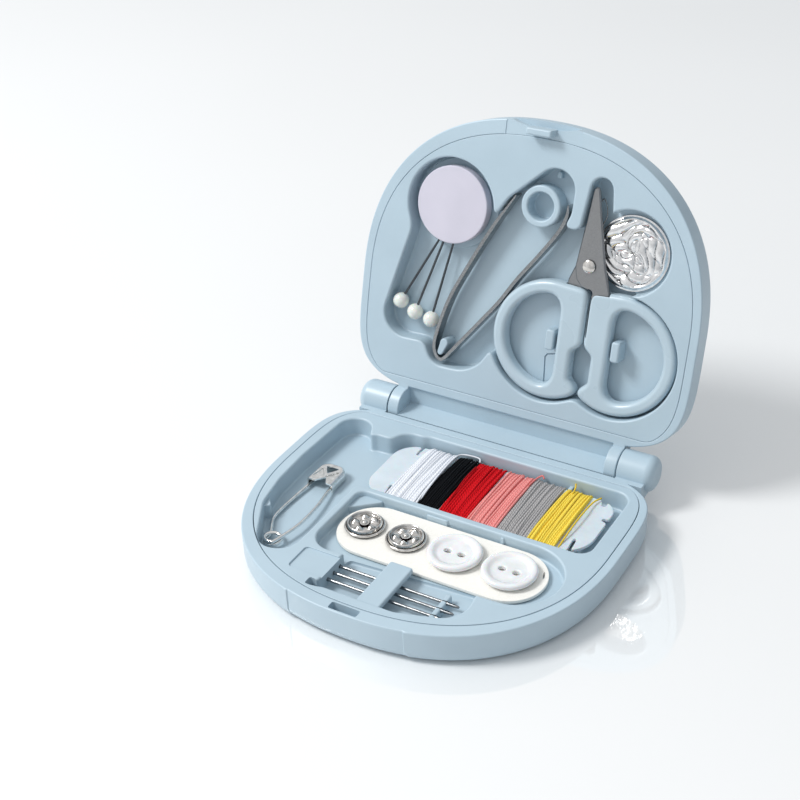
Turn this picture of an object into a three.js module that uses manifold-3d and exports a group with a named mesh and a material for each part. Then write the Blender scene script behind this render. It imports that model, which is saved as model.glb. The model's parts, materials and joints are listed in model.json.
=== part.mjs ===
// An open clamshell pocket sewing kit: two D-shaped shells on a rear hinge, a moulded tray in each, and the
// haberdashery that lies in the trays. Millimetres, +Z up, +X along the hinge, +Y towards the hinge.
// The origin is the middle of the lower shell's flat underside.
// A place on a shell is given as x along the hinge and u, the distance from the hinge axis over its face.
import * as THREE from 'three';
import { mergeVertices } from 'three/addons/utils/BufferGeometryUtils.js';
import Module from 'manifold-3d';

const wasm = await Module();
wasm.setup();

// ---- driving dimensions ----
const gap = 0.3; // clearance between pieces that touch
const arcSteps = 20; // sides of a round outline

const shell = {
  halfWidth: 44, // widest half breadth, outside
  front: 75.6, // hinge axis to the front edge
  widest: 32, // hinge axis to the widest place
  floor: 1.5,
  sideWall: 2.1,
  frontWall: 3.5,
  backWall: 2.3,
  edgeRadius: 2.6, // rounded outer edge
};
const openAngle = 105.7; // from closed to the open stop, degrees
const hinge = {
  radius: 4.4, // barrel
  backClearance: 0.35, // barrel to the other shell's rear edge
  lugInner: 31.15,
  lugOuter: 39.8,
  lugRound: 2.2,
  earThickness: 3,
  pinRadius: 0.75,
  pinLength: 5,
};
const channel = { floorDrop: 0.35, wallSet: 2.2 }; // quadrant cut from the lid's barrel, seen when open
const latch = { halfWidth: 3.2, thickness: 1.5, reach: 2.5, fromTrayWall: 0.55, slotDepth: 3.2 };
const thumb = { baseHalf: 14.5, baseDepth: 0.5, lidHalf: 9.4, lidDepth: 1.1, lidHeight: 2.5 };
const tray = { pocketDepth: 5, floor: 1.2, buttonDepth: 3.2, needleDepth: 4, threaderDepth: 4, plateDepth: 0.4 };

const trayBottom = shell.floor + gap;
const shellHeight = trayBottom + tray.floor + tray.pocketDepth;
const shellBack = hinge.radius + hinge.backClearance; // hinge axis to a shell's rear edge
const axisHeight = shellHeight + gap / 2; // the hinge axis lies midway between the two closed faces
const hingeY = (shell.front + shellBack) / 2; // puts the origin under the middle of the shell
const face = -gap / 2; // the lid's face, in the lid's own frame
const pocketFloor = shellHeight - tray.pocketDepth;
const lidFloor = face - tray.pocketDepth;

// ---- solids ----
function solid(geometry) {
  const bare = geometry.index ? geometry.toNonIndexed() : geometry.clone();
  bare.deleteAttribute('normal');
  bare.deleteAttribute('uv');
  const merged = mergeVertices(bare, 1e-4);
  return new wasm.Manifold(new wasm.Mesh({
    numProp: 3,
    vertProperties: new Float32Array(merged.attributes.position.array),
    triVerts: new Uint32Array(merged.index.array),
  }));
}

function geometryOf(body) {
  const mesh = body.getMesh();
  const geometry = new THREE.BufferGeometry();
  geometry.setAttribute('position', new THREE.BufferAttribute(new Float32Array(mesh.vertProperties), 3));
  geometry.setIndex(new THREE.BufferAttribute(new Uint32Array(mesh.triVerts), 1));
  const flat = geometry.toNonIndexed();
  flat.computeVertexNormals();
  return flat;
}

const join = (first, ...rest) => rest.reduce((whole, next) => whole.add(next), first);
const cut = (first, ...rest) => rest.reduce((whole, next) => whole.subtract(next), first);

function prism(shape, low, high) {
  const geometry = new THREE.ExtrudeGeometry(shape, { depth: high - low, bevelEnabled: false, curveSegments: arcSteps });
  return solid(geometry.translate(0, 0, low));
}

function block(x0, x1, y0, y1, z0, z1) {
  const geometry = new THREE.BoxGeometry(x1 - x0, y1 - y0, z1 - z0);
  return solid(geometry.translate((x0 + x1) / 2, (y0 + y1) / 2, (z0 + z1) / 2));
}

// a turned piece standing on z: profile points are [radius, z]
function turned(profile, steps = arcSteps) {
  const points = profile.map(([radius, z]) => new THREE.Vector2(radius, z));
  return solid(new THREE.LatheGeometry(points, steps).rotateX(Math.PI / 2));
}

// the closed profile of a plain cylinder
const rod = (radius, low, high, steps = arcSteps) => turned([[0, low], [radius, low], [radius, high], [0, high]], steps);

// a rod lying along x
function rodX(radius, x0, x1, y, z, steps = 2 * arcSteps) {
  const geometry = new THREE.CylinderGeometry(radius, radius, x1 - x0, steps);
  return solid(geometry.rotateZ(Math.PI / 2).translate((x0 + x1) / 2, y, z));
}

// round wire along a curve
function wire(curve, radius, steps, sides = 8) {
  const section = new THREE.Shape();
  for (let i = 0; i < sides; i += 1) {
    const angle = (2 * Math.PI * i) / sides;
    const move = i ? 'lineTo' : 'moveTo';
    section[move](radius * Math.cos(angle), radius * Math.sin(angle));
  }
  return solid(new THREE.ExtrudeGeometry(section, { steps, extrudePath: curve, bevelEnabled: false }));
}

// ---- plan outlines ----
// the tight outline round a set of discs [x, u, radius]; side is -1 on the base, where u runs towards -Y
function round(discs, side = 1, steps = arcSteps) {
  const points = [];
  for (const [x, u, radius] of discs) {
    for (let i = 0; i < steps; i += 1) {
      const angle = (2 * Math.PI * i) / steps;
      points.push([x + radius * Math.cos(angle), side * u + radius * Math.sin(angle)]);
    }
  }
  points.sort((a, b) => a[0] - b[0] || a[1] - b[1]);
  const turn = (o, a, b) => (a[0] - o[0]) * (b[1] - o[1]) - (a[1] - o[1]) * (b[0] - o[0]);
  const half = (list) => {
    const kept = [];
    for (const point of list) {
      while (kept.length > 1 && turn(kept[kept.length - 2], kept[kept.length - 1], point) <= 1e-6) kept.pop();
      kept.push(point);
    }
    return kept.slice(0, -1);
  };
  const loop = [...half(points), ...half([...points].reverse())];
  return new THREE.Shape(loop.map(([x, y]) => new THREE.Vector2(x, y)));
}

// the D-shaped outline of a shell: a full front curve, a squarer rear, cut straight along the hinge
function dShape(halfWidth, front, back, side, steps = 28) {
  const frontPower = 2.3;
  const rearPower = 5;
  const rearReach = shell.widest - back + 1; // the rear curve runs 1 mm past the straight cut
  const points = [];
  for (let i = 0; i < 2 * steps; i += 1) {
    const angle = (Math.PI * i) / steps;
    const atFront = Math.sin(angle) >= 0;
    const power = 2 / (atFront ? frontPower : rearPower);
    const x = halfWidth * Math.sign(Math.cos(angle)) * Math.abs(Math.cos(angle)) ** power;
    const reach = (atFront ? front - shell.widest : rearReach) * Math.abs(Math.sin(angle)) ** power;
    const u = atFront ? shell.widest + reach : Math.max(shell.widest - reach, back);
    points.push(new THREE.Vector2(x, side * u));
  }
  return new THREE.Shape(side < 0 ? points.reverse() : points);
}

const outer = (side, inset = 0) => dShape(shell.halfWidth - inset, shell.front - inset, shellBack, side);
const inner = (side, inset = 0) => dShape(
  shell.halfWidth - shell.sideWall - inset,
  shell.front - shell.frontWall - inset,
  shellBack + shell.backWall + inset,
  side,
);

// a flat band that follows a curve in plan
function ribbon(curve, thickness, steps) {
  const left = [];
  const right = [];
  for (let i = 0; i <= steps; i += 1) {
    const point = curve.getPoint(i / steps);
    const along = curve.getTangent(i / steps);
    const across = new THREE.Vector2(-along.y, along.x).multiplyScalar(thickness / 2);
    left.push(point.clone().add(across));
    right.unshift(point.clone().sub(across));
  }
  return new THREE.Shape([...left, ...right]);
}

// ---- finishes ----
const finish = (color, roughness, metalness = 0) => new THREE.MeshStandardMaterial({ color, roughness, metalness });
const caseBlue = finish('#b8ccdc', 0.42);
const trayBlue = finish('#b4c8d8', 0.45);
const handleBlue = finish('#b9cddc', 0.35);
const steel = finish('#8d9096', 0.28, 1);
const nickel = finish('#c9c7c2', 0.22, 1);
const aluminium = finish('#d9dadc', 0.3, 1);
const cardWhite = finish('#e3e6ea', 0.4);
const boardWhite = finish('#efede6', 0.7);
const buttonWhite = finish('#eceef0', 0.2);
const pearlWhite = finish('#f2ede4', 0.18);
const padLilac = finish('#cfccd8', 0.55);

const kit = new THREE.Group();
const base = new THREE.Group();
const lid = new THREE.Group();
base.position.set(0, hingeY, 0);
lid.position.set(0, hingeY, axisHeight);
lid.rotation.x = THREE.MathUtils.degToRad(180 - openAngle);
kit.add(base, lid);

function piece(group, name, body, material) {
  const mesh = new THREE.Mesh(geometryOf(body), material);
  mesh.name = name;
  group.add(mesh);
  return mesh;
}

// ---- lower shell: its face is up, u runs towards -Y ----
function shellBody(side) {
  const r = shell.edgeRadius;
  const plate = new THREE.ExtrudeGeometry(outer(side), {
    depth: shellHeight, bevelEnabled: true, bevelThickness: r, bevelSize: r, bevelOffset: -r, bevelSegments: 4,
  });
  const reach = 2 * shell.front;
  const trim = block(-reach, reach, -reach, reach, shellHeight, 2 * shellHeight);
  return solid(plate.translate(0, 0, r)).subtract(trim);
}

// a hinge lug: a turned barrel end with a rounded outer edge, and the web that joins it to the shell
function lug(sign) {
  const { radius, lugInner, lugOuter, lugRound } = hinge;
  const profile = [[0, lugInner], [radius, lugInner]];
  for (let i = 0; i <= 4; i += 1) {
    const angle = (Math.PI / 2) * (i / 4);
    profile.push([radius - lugRound * (1 - Math.cos(angle)), lugOuter - lugRound * (1 - Math.sin(angle))]);
  }
  profile.push([0, lugOuter]);
  const points = profile.map(([r, x]) => new THREE.Vector2(r, x));
  const barrel = new THREE.LatheGeometry(points, 2 * arcSteps).rotateZ(-Math.PI / 2);
  if (sign < 0) barrel.rotateY(Math.PI);
  const web = sign > 0 ? [lugInner, lugOuter - lugRound] : [lugRound - lugOuter, -lugInner];
  return solid(barrel.translate(0, 0, axisHeight))
    .add(block(web[0], web[1], -shellBack - 1, 0, axisHeight - radius, shellHeight));
}

function pinBore(sign, z) {
  const middle = hinge.lugInner - gap / 2;
  const half = hinge.pinLength / 2 + gap;
  return rodX(hinge.pinRadius + gap, sign * middle - half, sign * middle + half, 0, z, arcSteps);
}

const slotBack = shell.front - shell.frontWall + latch.fromTrayWall;

function baseShell() {
  const cavity = prism(inner(-1), shell.floor, 2 * shellHeight);
  const slot = block(
    -latch.halfWidth - gap, latch.halfWidth + gap,
    -slotBack - latch.thickness - 2 * gap, -slotBack, shellHeight - latch.slotDepth, 2 * shellHeight,
  );
  const thumbBlock = block(-thumb.baseHalf, thumb.baseHalf, -2 * shell.front, -shell.widest, -1, 2 * shellHeight);
  const scoop = thumbBlock.subtract(prism(outer(-1, thumb.baseDepth), -2, 3 * shellHeight));
  const lugs = [1, -1].map(lug);
  return cut(
    join(shellBody(-1), ...lugs), cavity, slot, scoop, pinBore(1, axisHeight), pinBore(-1, axisHeight),
  );
}

piece(base, 'base_shell', baseShell(), caseBlue);
for (const [name, sign] of [['hinge_pin_left', -1], ['hinge_pin_right', 1]]) {
  const middle = sign * (hinge.lugInner - gap / 2);
  const half = hinge.pinLength / 2;
  piece(base, name, rodX(hinge.pinRadius, middle - half, middle + half, 0, axisHeight, 12), steel);
}

// ---- upper shell, in the lid's frame: u along +Y, the face looks along +Z, the hinge axis is the X axis ----
function lidShell() {
  const { radius, lugInner, earThickness } = hinge;
  const earOuter = lugInner - gap;
  const body = shellBody(1).translate([0, 0, face - shellHeight]);
  const neck = block(-earOuter, earOuter, 0, shellBack + 1, -radius, face);
  const barrel = rodX(radius, -earOuter, earOuter, 0, 0);
  const cavity = prism(inner(1), shell.floor - shellHeight + face, shellHeight);
  const channelCut = block(
    earThickness - earOuter, earOuter - earThickness,
    -2 * radius, channel.wallSet, -channel.floorDrop, 3 * radius,
  ).rotate([openAngle - 180, 0, 0]);
  const tabBack = slotBack + gap;
  const tab = block(-latch.halfWidth, latch.halfWidth, tabBack, tabBack + latch.thickness, face - 1, latch.reach);
  const scoop = block(
    -thumb.lidHalf, thumb.lidHalf, shell.front - thumb.lidDepth, 2 * shell.front, face - thumb.lidHeight, shellHeight,
  );
  return cut(
    join(body, neck, barrel), cavity, channelCut, scoop, pinBore(1, 0), pinBore(-1, 0),
  ).add(tab);
}

piece(lid, 'lid_shell', lidShell(), caseBlue);

// ---- lower tray ----
const card = { x0: -21.8, x1: 35.2, u0: 11.2, u1: 32.6, thickness: 0.8, corner: 6 };
const winding = { thickness: 3.2, edge: 0.6 };
const buttonCard = { x0: -18.4, x1: 32.8, u: 45.5, halfWidth: 8.8, thickness: 0.8 };
const needleSize = { radius: 0.4, length: 34, tail: 19.8, u: 59.7, pitch: 2.5, height: 1.6 };
const onFloor = shellHeight - tray.buttonDepth + gap;
const cardTop = onFloor + buttonCard.thickness;
const tongue = { x0: 0.2, x1: 6, tip: buttonCard.u + buttonCard.halfWidth + 0.6, root: 70.4, thickness: 1.2 };
const restRib = { x0: 15.4, x1: 17, u0: 57.5, u1: 66 }; // under the needles' eyes
const cardTab = { x0: -0.8, x1: 3.8, depth: 1.7, proud: 0.5 }; // behind the button card
const armStop = { x: -38.6, u0: 44, u1: 50.5, height: 2.6 }; // beside the safety pin's arm
const sunk = 0.5; // how far an added feature is rooted below the floor that it stands on

function baseTray() {
  const top = 2 * shellHeight;
  const pocket = (discs, depth = tray.pocketDepth) => prism(round(discs, -1), shellHeight - depth, top);
  const pinBay = pocket([
    [-34.3, 14.6, 4.3], [-33.2, 30, 6], [-32.5, 40, 6.2], [-31, 48, 6.2], [-26.6, 58.3, 5.2], [-23.5, card.u1 + 5, 2.2],
  ]);
  const passage = pocket([
    [-27.5, 15.8, 1.2], [-20, 15.8, 1.2], [-20, card.u1 + 0.4, 1.2], [-22.6, card.u1 + 2.2, 1.2], [-33, card.u1 + 2.2, 1.2],
  ]);
  const alcove = pocket([[card.x0 + 2.8, card.u0 + 3.3, 4.2], [card.x0 + 2.8, card.u0 + 8.8, 4.2]]);
  const threadBay = pocket([
    [card.x0 + 3.4, card.u0 + 4.4, 2.4], [card.x0 + 6.6, card.u0 + 0.2, 1.8], [card.x1 - 1.1, card.u0 + 1.9, 3.5],
    [card.x1 - 0.9, card.u1 - 1.6, 3.2], [card.x0 + 2.8, card.u1 - 0.2, 1.8],
  ]);
  const buttonBay = pocket([[-17.3, 38, 2], [-14.2, 53, 5.2], [buttonCard.x1 - 6.3, 46.4, 10.2]], tray.buttonDepth);
  const needleBay = pocket(
    [[-9, 57, 1], [-9, 68.4, 1], [9, 66.6, 2.8], [16.4, 60.8, 6.2], [20, 56, 2]], tray.needleDepth,
  );
  const needleHole = pocket([[-11.2, 69.2, 0.8], [-9.5, 69, 0.8]], tray.needleDepth);
  const plate = pocket([[-17.9, 60.4, 0.9], [-17.9, 66.1, 0.9], [-11, 60.4, 0.9], [-11, 66.1, 0.9]], tray.plateDepth);
  const body = cut(
    prism(inner(-1, gap), trayBottom, shellHeight),
    pinBay, passage, alcove, threadBay, buttonBay, needleBay, needleHole, plate,
  );
  const tongueTop = shellHeight - gap;
  const keeper = block(tongue.x0, tongue.x1, -tongue.root, -tongue.tip, tongueTop - tongue.thickness, tongueTop);
  const needleFloor = shellHeight - tray.needleDepth;
  const ribTop = needleFloor + needleSize.height - needleSize.radius - gap;
  const rib = block(restRib.x0, restRib.x1, -restRib.u1, -restRib.u0, needleFloor - sunk, ribTop);
  const cardEdge = buttonCard.u - buttonCard.halfWidth;
  const tab = block(
    cardTab.x0, cardTab.x1, gap - cardEdge, gap + cardTab.depth - cardEdge, onFloor - 2 * sunk, cardTop + cardTab.proud,
  );
  const stopOutline = round([
    [armStop.x, armStop.u0, 0.5], [armStop.x + 2.2, armStop.u1 - 0.9, 0.4], [armStop.x + 0.2, armStop.u1, 0.5],
  ], -1);
  const stop = prism(stopOutline, pocketFloor - sunk, pocketFloor + armStop.height)
    .intersect(prism(inner(-1, gap), trayBottom, shellHeight));
  const needleHoles = [0, 1, 2].map((i) => rodX(
    needleSize.radius + gap, needleSize.tail - needleSize.length - 2, 0,
    -needleSize.u - i * needleSize.pitch, needleFloor + needleSize.height, 12,
  ));
  return cut(join(body, keeper, rib, tab, stop), ...needleHoles);
}

piece(base, 'base_tray', baseTray(), trayBlue);

// ---- thread card and its six windings ----
const windingTop = shellHeight - 1.3;
const cardMiddle = windingTop - winding.thickness / 2;

function threadCard() {
  const { x0, x1, u0, u1, corner, thickness } = card;
  const half = thickness / 2;
  const outline = round([
    [x0 + corner, u0 + corner, corner], [x0 + corner, u1 - corner, corner],
    [x1 - corner, u0 + corner, corner], [x1 - corner, u1 - corner, corner],
  ], -1);
  const slits = [];
  for (const x of [x0 + 5.2, x1 - 3.4]) {
    slits.push(block(x - 0.35, x + 0.35, -u0 - 3.4, 1 - u0, 0, shellHeight));
    slits.push(block(x - 0.35, x + 0.35, -u1 - 1, 3.4 - u1, 0, shellHeight));
  }
  return cut(prism(outline, cardMiddle - half, cardMiddle + half), ...slits);
}

piece(base, 'thread_card', threadCard(), cardWhite);

// a winding is a flattened ring round the card, its section in the plane across x
function windingBody(x0, x1) {
  const { u0, u1, thickness } = card;
  const radius = winding.thickness / 2;
  const reach = gap + winding.edge;
  const outside = round([[-u0 - radius + reach, 0, radius], [radius - u1 - reach, 0, radius]], 1, 12);
  const insideHalf = thickness / 2 + gap;
  const inside = new THREE.Path([
    new THREE.Vector2(-u0 + gap, -insideHalf), new THREE.Vector2(-u0 + gap, insideHalf),
    new THREE.Vector2(-u1 - gap, insideHalf), new THREE.Vector2(-u1 - gap, -insideHalf),
  ]);
  outside.holes.push(inside);
  const geometry = new THREE.ExtrudeGeometry(outside, { depth: x1 - x0, bevelEnabled: false });
  // local x of the section runs along y, local y along z, and the depth along x
  geometry.applyMatrix4(new THREE.Matrix4().makeBasis(
    new THREE.Vector3(0, 1, 0), new THREE.Vector3(0, 0, 1), new THREE.Vector3(1, 0, 0),
  ));
  return solid(geometry.translate(x0, 0, cardMiddle));
}

const threads = [
  ['thread_white', 8.3, '#e8eaf0'], ['thread_black', 5.9, '#0a0d14'], ['thread_red', 7.3, '#c40a18'],
  ['thread_pink', 7.6, '#ee8c88'], ['thread_grey', 7.8, '#9c9aa0'], ['thread_yellow', 6.9, '#e8ce38'],
];
let threadX = -14.8;
for (const [name, width, color] of threads) {
  piece(base, name, windingBody(threadX, threadX + width - gap), finish(color, 0.75));
  threadX += width;
}

// ---- button card with two press studs and two buttons ----
function buttonBoard() {
  const { x0, x1, u, halfWidth } = buttonCard;
  return prism(round([[x0 + halfWidth, u, halfWidth], [x1 - halfWidth, u, halfWidth]], -1, 32), onFloor, cardTop);
}

piece(base, 'button_card', buttonBoard(), boardWhite);

const stud = { radius: 4.7, plate: 0.6, knob: 1.1 };
const studLow = cardTop + gap;
const socketBody = turned([
  [stud.knob + gap, studLow], [stud.radius, studLow], [stud.radius, studLow + stud.plate],
  [stud.knob + gap, studLow + stud.plate], [stud.knob + gap, studLow],
], 28);
const studTop = studLow + stud.plate + gap;
const studBody = turned([
  [0, studLow + 0.1], [stud.knob, studLow + 0.1], [stud.knob, studTop], [stud.radius - 0.5, studTop],
  [stud.radius - 0.6, studTop + stud.plate], [0, studTop + stud.plate],
], 28);
const button = { radius: 6.3, thickness: 1.55, rim: 1.5, holeRadius: 0.75, holeHalfPitch: 1.7 };
const buttonTop = studLow + button.thickness;
const buttonBody = cut(
  turned([
    [0, studLow], [button.radius - 1, studLow], [button.radius, studLow + 0.8], [button.radius - 0.4, buttonTop],
    [button.radius - button.rim, buttonTop], [button.radius - button.rim - 1, buttonTop - 0.5], [0, buttonTop - 0.5],
  ], 28),
  ...[-1, 1].map((s) => rod(button.holeRadius, studLow - 1, buttonTop + 1, 12)
    .translate([s * button.holeHalfPitch, 0, 0])),
);
for (const [name, x] of [['left', -12.3], ['right', -1.5]]) {
  const at = [x, -buttonCard.u, 0];
  piece(base, `press_stud_${name}_socket`, socketBody.translate(at), nickel);
  piece(base, `press_stud_${name}_top`, studBody.translate(at), nickel);
}
for (const [name, x] of [['button_left', 10.9], ['button_right', 24.3]]) {
  piece(base, name, buttonBody.translate([x, -buttonCard.u, 0]), buttonWhite);
}

// ---- three needles under the tongue ----
function needle() {
  const { radius, length, tail } = needleSize;
  const profile = [[0, 0], [radius * 0.2, 0], [radius * 0.8, 6], [radius, 12], [radius, length - 1], [0, length]];
  const shaft = turned(profile, 10).rotate([0, 90, 0]).translate([tail - length, 0, 0]);
  const eye = block(tail - 2.6, tail - 1.2, -0.15, 0.15, -1, 1);
  return shaft.subtract(eye);
}

for (let i = 0; i < 3; i += 1) {
  const y = -needleSize.u - i * needleSize.pitch;
  const z = shellHeight - tray.needleDepth + needleSize.height;
  piece(base, `needle_${i + 1}`, needle().translate([0, y, z]), nickel);
}

// ---- safety pin: one wire with a coil, and the folded cap over its two ends ----
const pin = { x: -31.5, capU: 29.8, coilU: 56.3, coilX: -30.2, wireRadius: 0.45, coilRadius: 1.5, halfWidth: 3.2 };

function safetyPinWire() {
  const { x, capU, coilU, coilX, wireRadius, coilRadius, halfWidth } = pin;
  const low = pocketFloor + gap + wireRadius;
  const high = low + 2 * wireRadius + gap + 0.1;
  const points = [
    [x - halfWidth + 1.2, capU, low + 0.4], [x - halfWidth + 0.7, capU + 4.5, low + 0.2],
    [x - halfWidth - 0.3, capU + 12, low], [x - halfWidth + 0.2, coilU - 8, low],
  ];
  const turns = 10;
  for (let i = 0; i <= turns; i += 1) {
    const angle = Math.PI - (3 * Math.PI * i) / turns; // one turn and a half
    const height = low + ((high - low) * i) / turns;
    points.push([coilX + coilRadius * Math.cos(angle), coilU + coilRadius * Math.sin(angle), height]);
  }
  points.push([x + halfWidth + 0.5, coilU - 10, high], [x + halfWidth - 0.1, capU + 10, high - 0.4]);
  points.push([x + halfWidth - 0.8, capU + 3.5, low + 0.4], [x + halfWidth - 1.2, capU, low + 0.4]);
  const path = points.map(([a, u, z]) => new THREE.Vector3(a, -u, z));
  const curve = new THREE.CatmullRomCurve3(path, false, 'centripetal');
  return wire(curve, wireRadius, 70, 8);
}

function safetyPinCap() {
  const { x, capU, halfWidth } = pin;
  const sheet = 0.4;
  const hollow = halfWidth - 0.3;
  const low = pocketFloor + gap;
  const outline = (grow) => [
    [x - hollow + 1, capU - 0.5, 1.6 + grow], [x + hollow - 1, capU - 0.5, 1.6 + grow],
    [x - hollow + 0.4, capU + 4.4, 1 + grow], [x + hollow - 0.4, capU + 4.4, 1 + grow],
  ];
  const body = prism(round(outline(sheet), -1), low, low + 2.5);
  const inside = prism(round([...outline(0), [x, capU + 9, hollow]], -1), low - 1, low + 2.5 - sheet);
  const mouth = block(x - 8, x + 8, -capU - 9, -capU - 4.2, low - 1, low + 6);
  return cut(body, inside, mouth);
}

piece(base, 'safety_pin_wire', safetyPinWire(), nickel);
piece(base, 'safety_pin_cap', safetyPinCap(), nickel);

// ---- upper tray ----
const pad = { x: -21.8, u: 52.4, radius: 9.4, thickness: 3.3, seat: 0.6, ledge: 1.6 };
const post = { x: 1.2, u: 56.3, radius: 4.8, bore: 3.4 };
const scissors = {
  pivotX: 15.2, pivotU: 44.8, split: 16.15, bowU: 25.2, bowRadius: 14.5, bowHalfPitch: 8.8, wall: 3.2, bar: 6.6,
};
const threader = { x: 24.4, u: 49.4, radius: 8.8, thickness: 0.5 };
const pinHead = { radius: 2.1, shaft: 0.3, apart: 0.55, rightEdge: -22.8, u: 22.8 };
const headPitch = 2 * pinHead.radius + pinHead.apart;
// the heads lie side by side from the tweezers outwards; turn is the way to the next head, in degrees
const pins = [
  { turn: 0, aim: [-20.1, 49.4], tip: 0.9 },
  { turn: 169, aim: [-20.9, 51.4], tip: 2.2 },
  { turn: 154.5, aim: [-21.8, 49.8], tip: 0.9 },
];
let headPlace = [pinHead.rightEdge - pinHead.radius - headPitch, pinHead.u];
for (const entry of pins) {
  const way = THREE.MathUtils.degToRad(entry.turn);
  headPlace = [headPlace[0] + headPitch * Math.cos(way), headPlace[1] + headPitch * Math.sin(way)];
  entry.head = headPlace;
}
pins.reverse();
const bowX = (sign) => scissors.split + sign * scissors.bowHalfPitch;
const bowDiscs = (sign, grow = 0) => [
  [bowX(sign), scissors.bowU, scissors.bowRadius + grow], [scissors.split + sign * 2.6, scissors.bowU + 10.7, 3.4 + grow],
];
const pocketRoom = 2 * gap;
const pegs = { thickness: 2.2, leftU: 22.9, rightU: 23.6, length: 5, drop: 0.8 };

function lidTray() {
  const pocket = (discs, depth = tray.pocketDepth) => prism(round(discs), face - depth, shellHeight);
  const bays = [
    [[pad.x, pad.u, pad.radius + 2.1]],
    [
      [-26.3, 44.5, 5.2], [pins[0].head[0] + 2.9, pins[0].head[1] - 2.5, pinHead.radius + 3.9],
      [pins[2].head[0] + 0.8, pins[2].head[1] - 0.2, pinHead.radius + 2.9],
    ],
    [[4.7, 61, 4.8], [4.6, 57, 4.8], [-3, 54, 4.8], [-19.8, 16.6, 4.3], [-16.5, 22, 9.6]],
    [[5, 47, 5.6], [14, 47, 5.6], [8, 30, 5]],
    [[16, 63, 2.7], [scissors.pivotX + 0.8, scissors.pivotU, 5]],
    [[17.5, 42, 3.5], [23, 42, 2.5]],
    bowDiscs(-1, pocketRoom),
    bowDiscs(1, pocketRoom),
  ].map((discs) => pocket(discs));
  const threaderBay = pocket([[threader.x + 0.3, threader.u + 0.5, threader.radius + 1.1]], tray.threaderDepth);
  const body = cut(
    prism(inner(1, gap), shell.floor - shellHeight + gap + face, face), ...bays, threaderBay,
  );
  const root = lidFloor - sunk;
  const pegTop = face - pegs.drop;
  const seat = rod(pad.radius + pad.ledge, root, lidFloor + pad.seat).translate([pad.x, pad.u, 0]);
  const ring = rod(post.radius, root, pegTop, 28)
    .subtract(rod(post.bore, lidFloor, shellHeight, 28)).translate([post.x, post.u, 0]);
  const leaf = prism(round([[-20.4, 16.1, 0.6], [-19.8, 18.1, 0.8]]), root, pegTop);
  const leftEdge = scissors.split - scissors.bar - pocketRoom;
  const rightEdge = scissors.split + scissors.bar + pocketRoom;
  const pegLeft = block(leftEdge - pegs.thickness, leftEdge, pegs.leftU, pegs.leftU + pegs.length, root, pegTop);
  const pegRight = block(rightEdge, rightEdge + pegs.thickness, pegs.rightU, pegs.rightU + pegs.length, root, pegTop);
  return join(body, seat, ring, leaf, pegLeft, pegRight);
}

piece(lid, 'lid_tray', lidTray(), trayBlue);

// ---- pin pad and three pearl-headed pins ----
const padLow = lidFloor + pad.seat + gap;
const headHeight = lidFloor + gap + pinHead.radius;

// a rod between two points
function rodBetween(from, to, radius, sides) {
  const start = new THREE.Vector3(...from);
  const way = new THREE.Vector3(...to).sub(start);
  const geometry = new THREE.CylinderGeometry(radius, radius, way.length(), sides);
  const turnTo = new THREE.Quaternion().setFromUnitVectors(new THREE.Vector3(0, 1, 0), way.clone().normalize());
  geometry.applyQuaternion(turnTo);
  const middle = start.clone().addScaledVector(way, 0.5);
  return solid(geometry.translate(middle.x, middle.y, middle.z));
}

function pinLine({ head, aim, tip }) {
  return [[...head, headHeight], [...aim, padLow + tip]];
}

const channels = pins.map((entry) => {
  const [from, to] = pinLine(entry);
  const past = new THREE.Vector3(...to).lerp(new THREE.Vector3(...from), -0.02);
  return rodBetween(from, past.toArray(), pinHead.shaft + gap, 10);
});
const padBody = rod(pad.radius, padLow, padLow + pad.thickness, 32).translate([pad.x, pad.u, 0]);
piece(lid, 'pin_pad', cut(padBody, ...channels), padLilac);
pins.forEach((entry, i) => {
  const [from, to] = pinLine(entry);
  const bead = solid(new THREE.SphereGeometry(pinHead.radius, 14, 10).translate(...from));
  piece(lid, `pin_shaft_${i + 1}`, rodBetween(from, to, pinHead.shaft, 8), steel);
  piece(lid, `pin_head_${i + 1}`, bead.subtract(rodBetween(
    new THREE.Vector3(...from).lerp(new THREE.Vector3(...to), -0.02).toArray(), to, pinHead.shaft + gap, 10,
  )), pearlWhite);
});

// ---- tweezers: one bent strip standing on its edge ----
const strip = { thickness: 0.7, height: 3.2, top: -1.2 };
const stripCurve = new THREE.SplineCurve([
  [-5.4, 57.8], [-10.4, 49.3], [-15.8, 38.5], [-19.8, 29.5], [-22, 21.5], [-22.6, 17.2], [-21.9, 14.7], [-20.5, 13.7],
  [-19.2, 14.5], [-17.4, 16.9], [-11.6, 24.6], [-6.6, 31.4], [-2.6, 37.9], [2.6, 45.3], [6.4, 51.2], [7.9, 55], [8, 57.8],
].map(([x, u]) => new THREE.Vector2(x, u)));
piece(lid, 'tweezers', prism(ribbon(stripCurve, strip.thickness, 56), strip.top - strip.height, strip.top), steel);

// ---- scissors: two crossed halves on a rivet ----
const blade = { thickness: 0.8, top: -1.2, tang: 4 };
const handle = { low: lidFloor + gap, high: face - 0.6 };

// half 1 is the upper blade with the right-hand bow; half -1 is its mirror image below it
function bladeOutline(sign, grow = 0) {
  const at = (x, u) => new THREE.Vector2(scissors.pivotX + sign * x, u);
  const points = [
    at(-0.9 - grow, 63.2 + grow), at(0.1 + grow, 62.6 + grow), at(5.2 + grow, 40.5), at(5.7 + grow, 28 - grow),
    at(1.7 - grow, 28 - grow), at(1.5 - grow, 39), at(-1.4 - grow, 41), at(-3.7 - grow, 43.6), at(-3.8 - grow, 46.2),
  ];
  return new THREE.Shape(sign > 0 ? points.reverse() : points);
}

const bladeLow = (sign) => blade.top - blade.thickness - (sign > 0 ? 0 : blade.thickness + gap);

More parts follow.
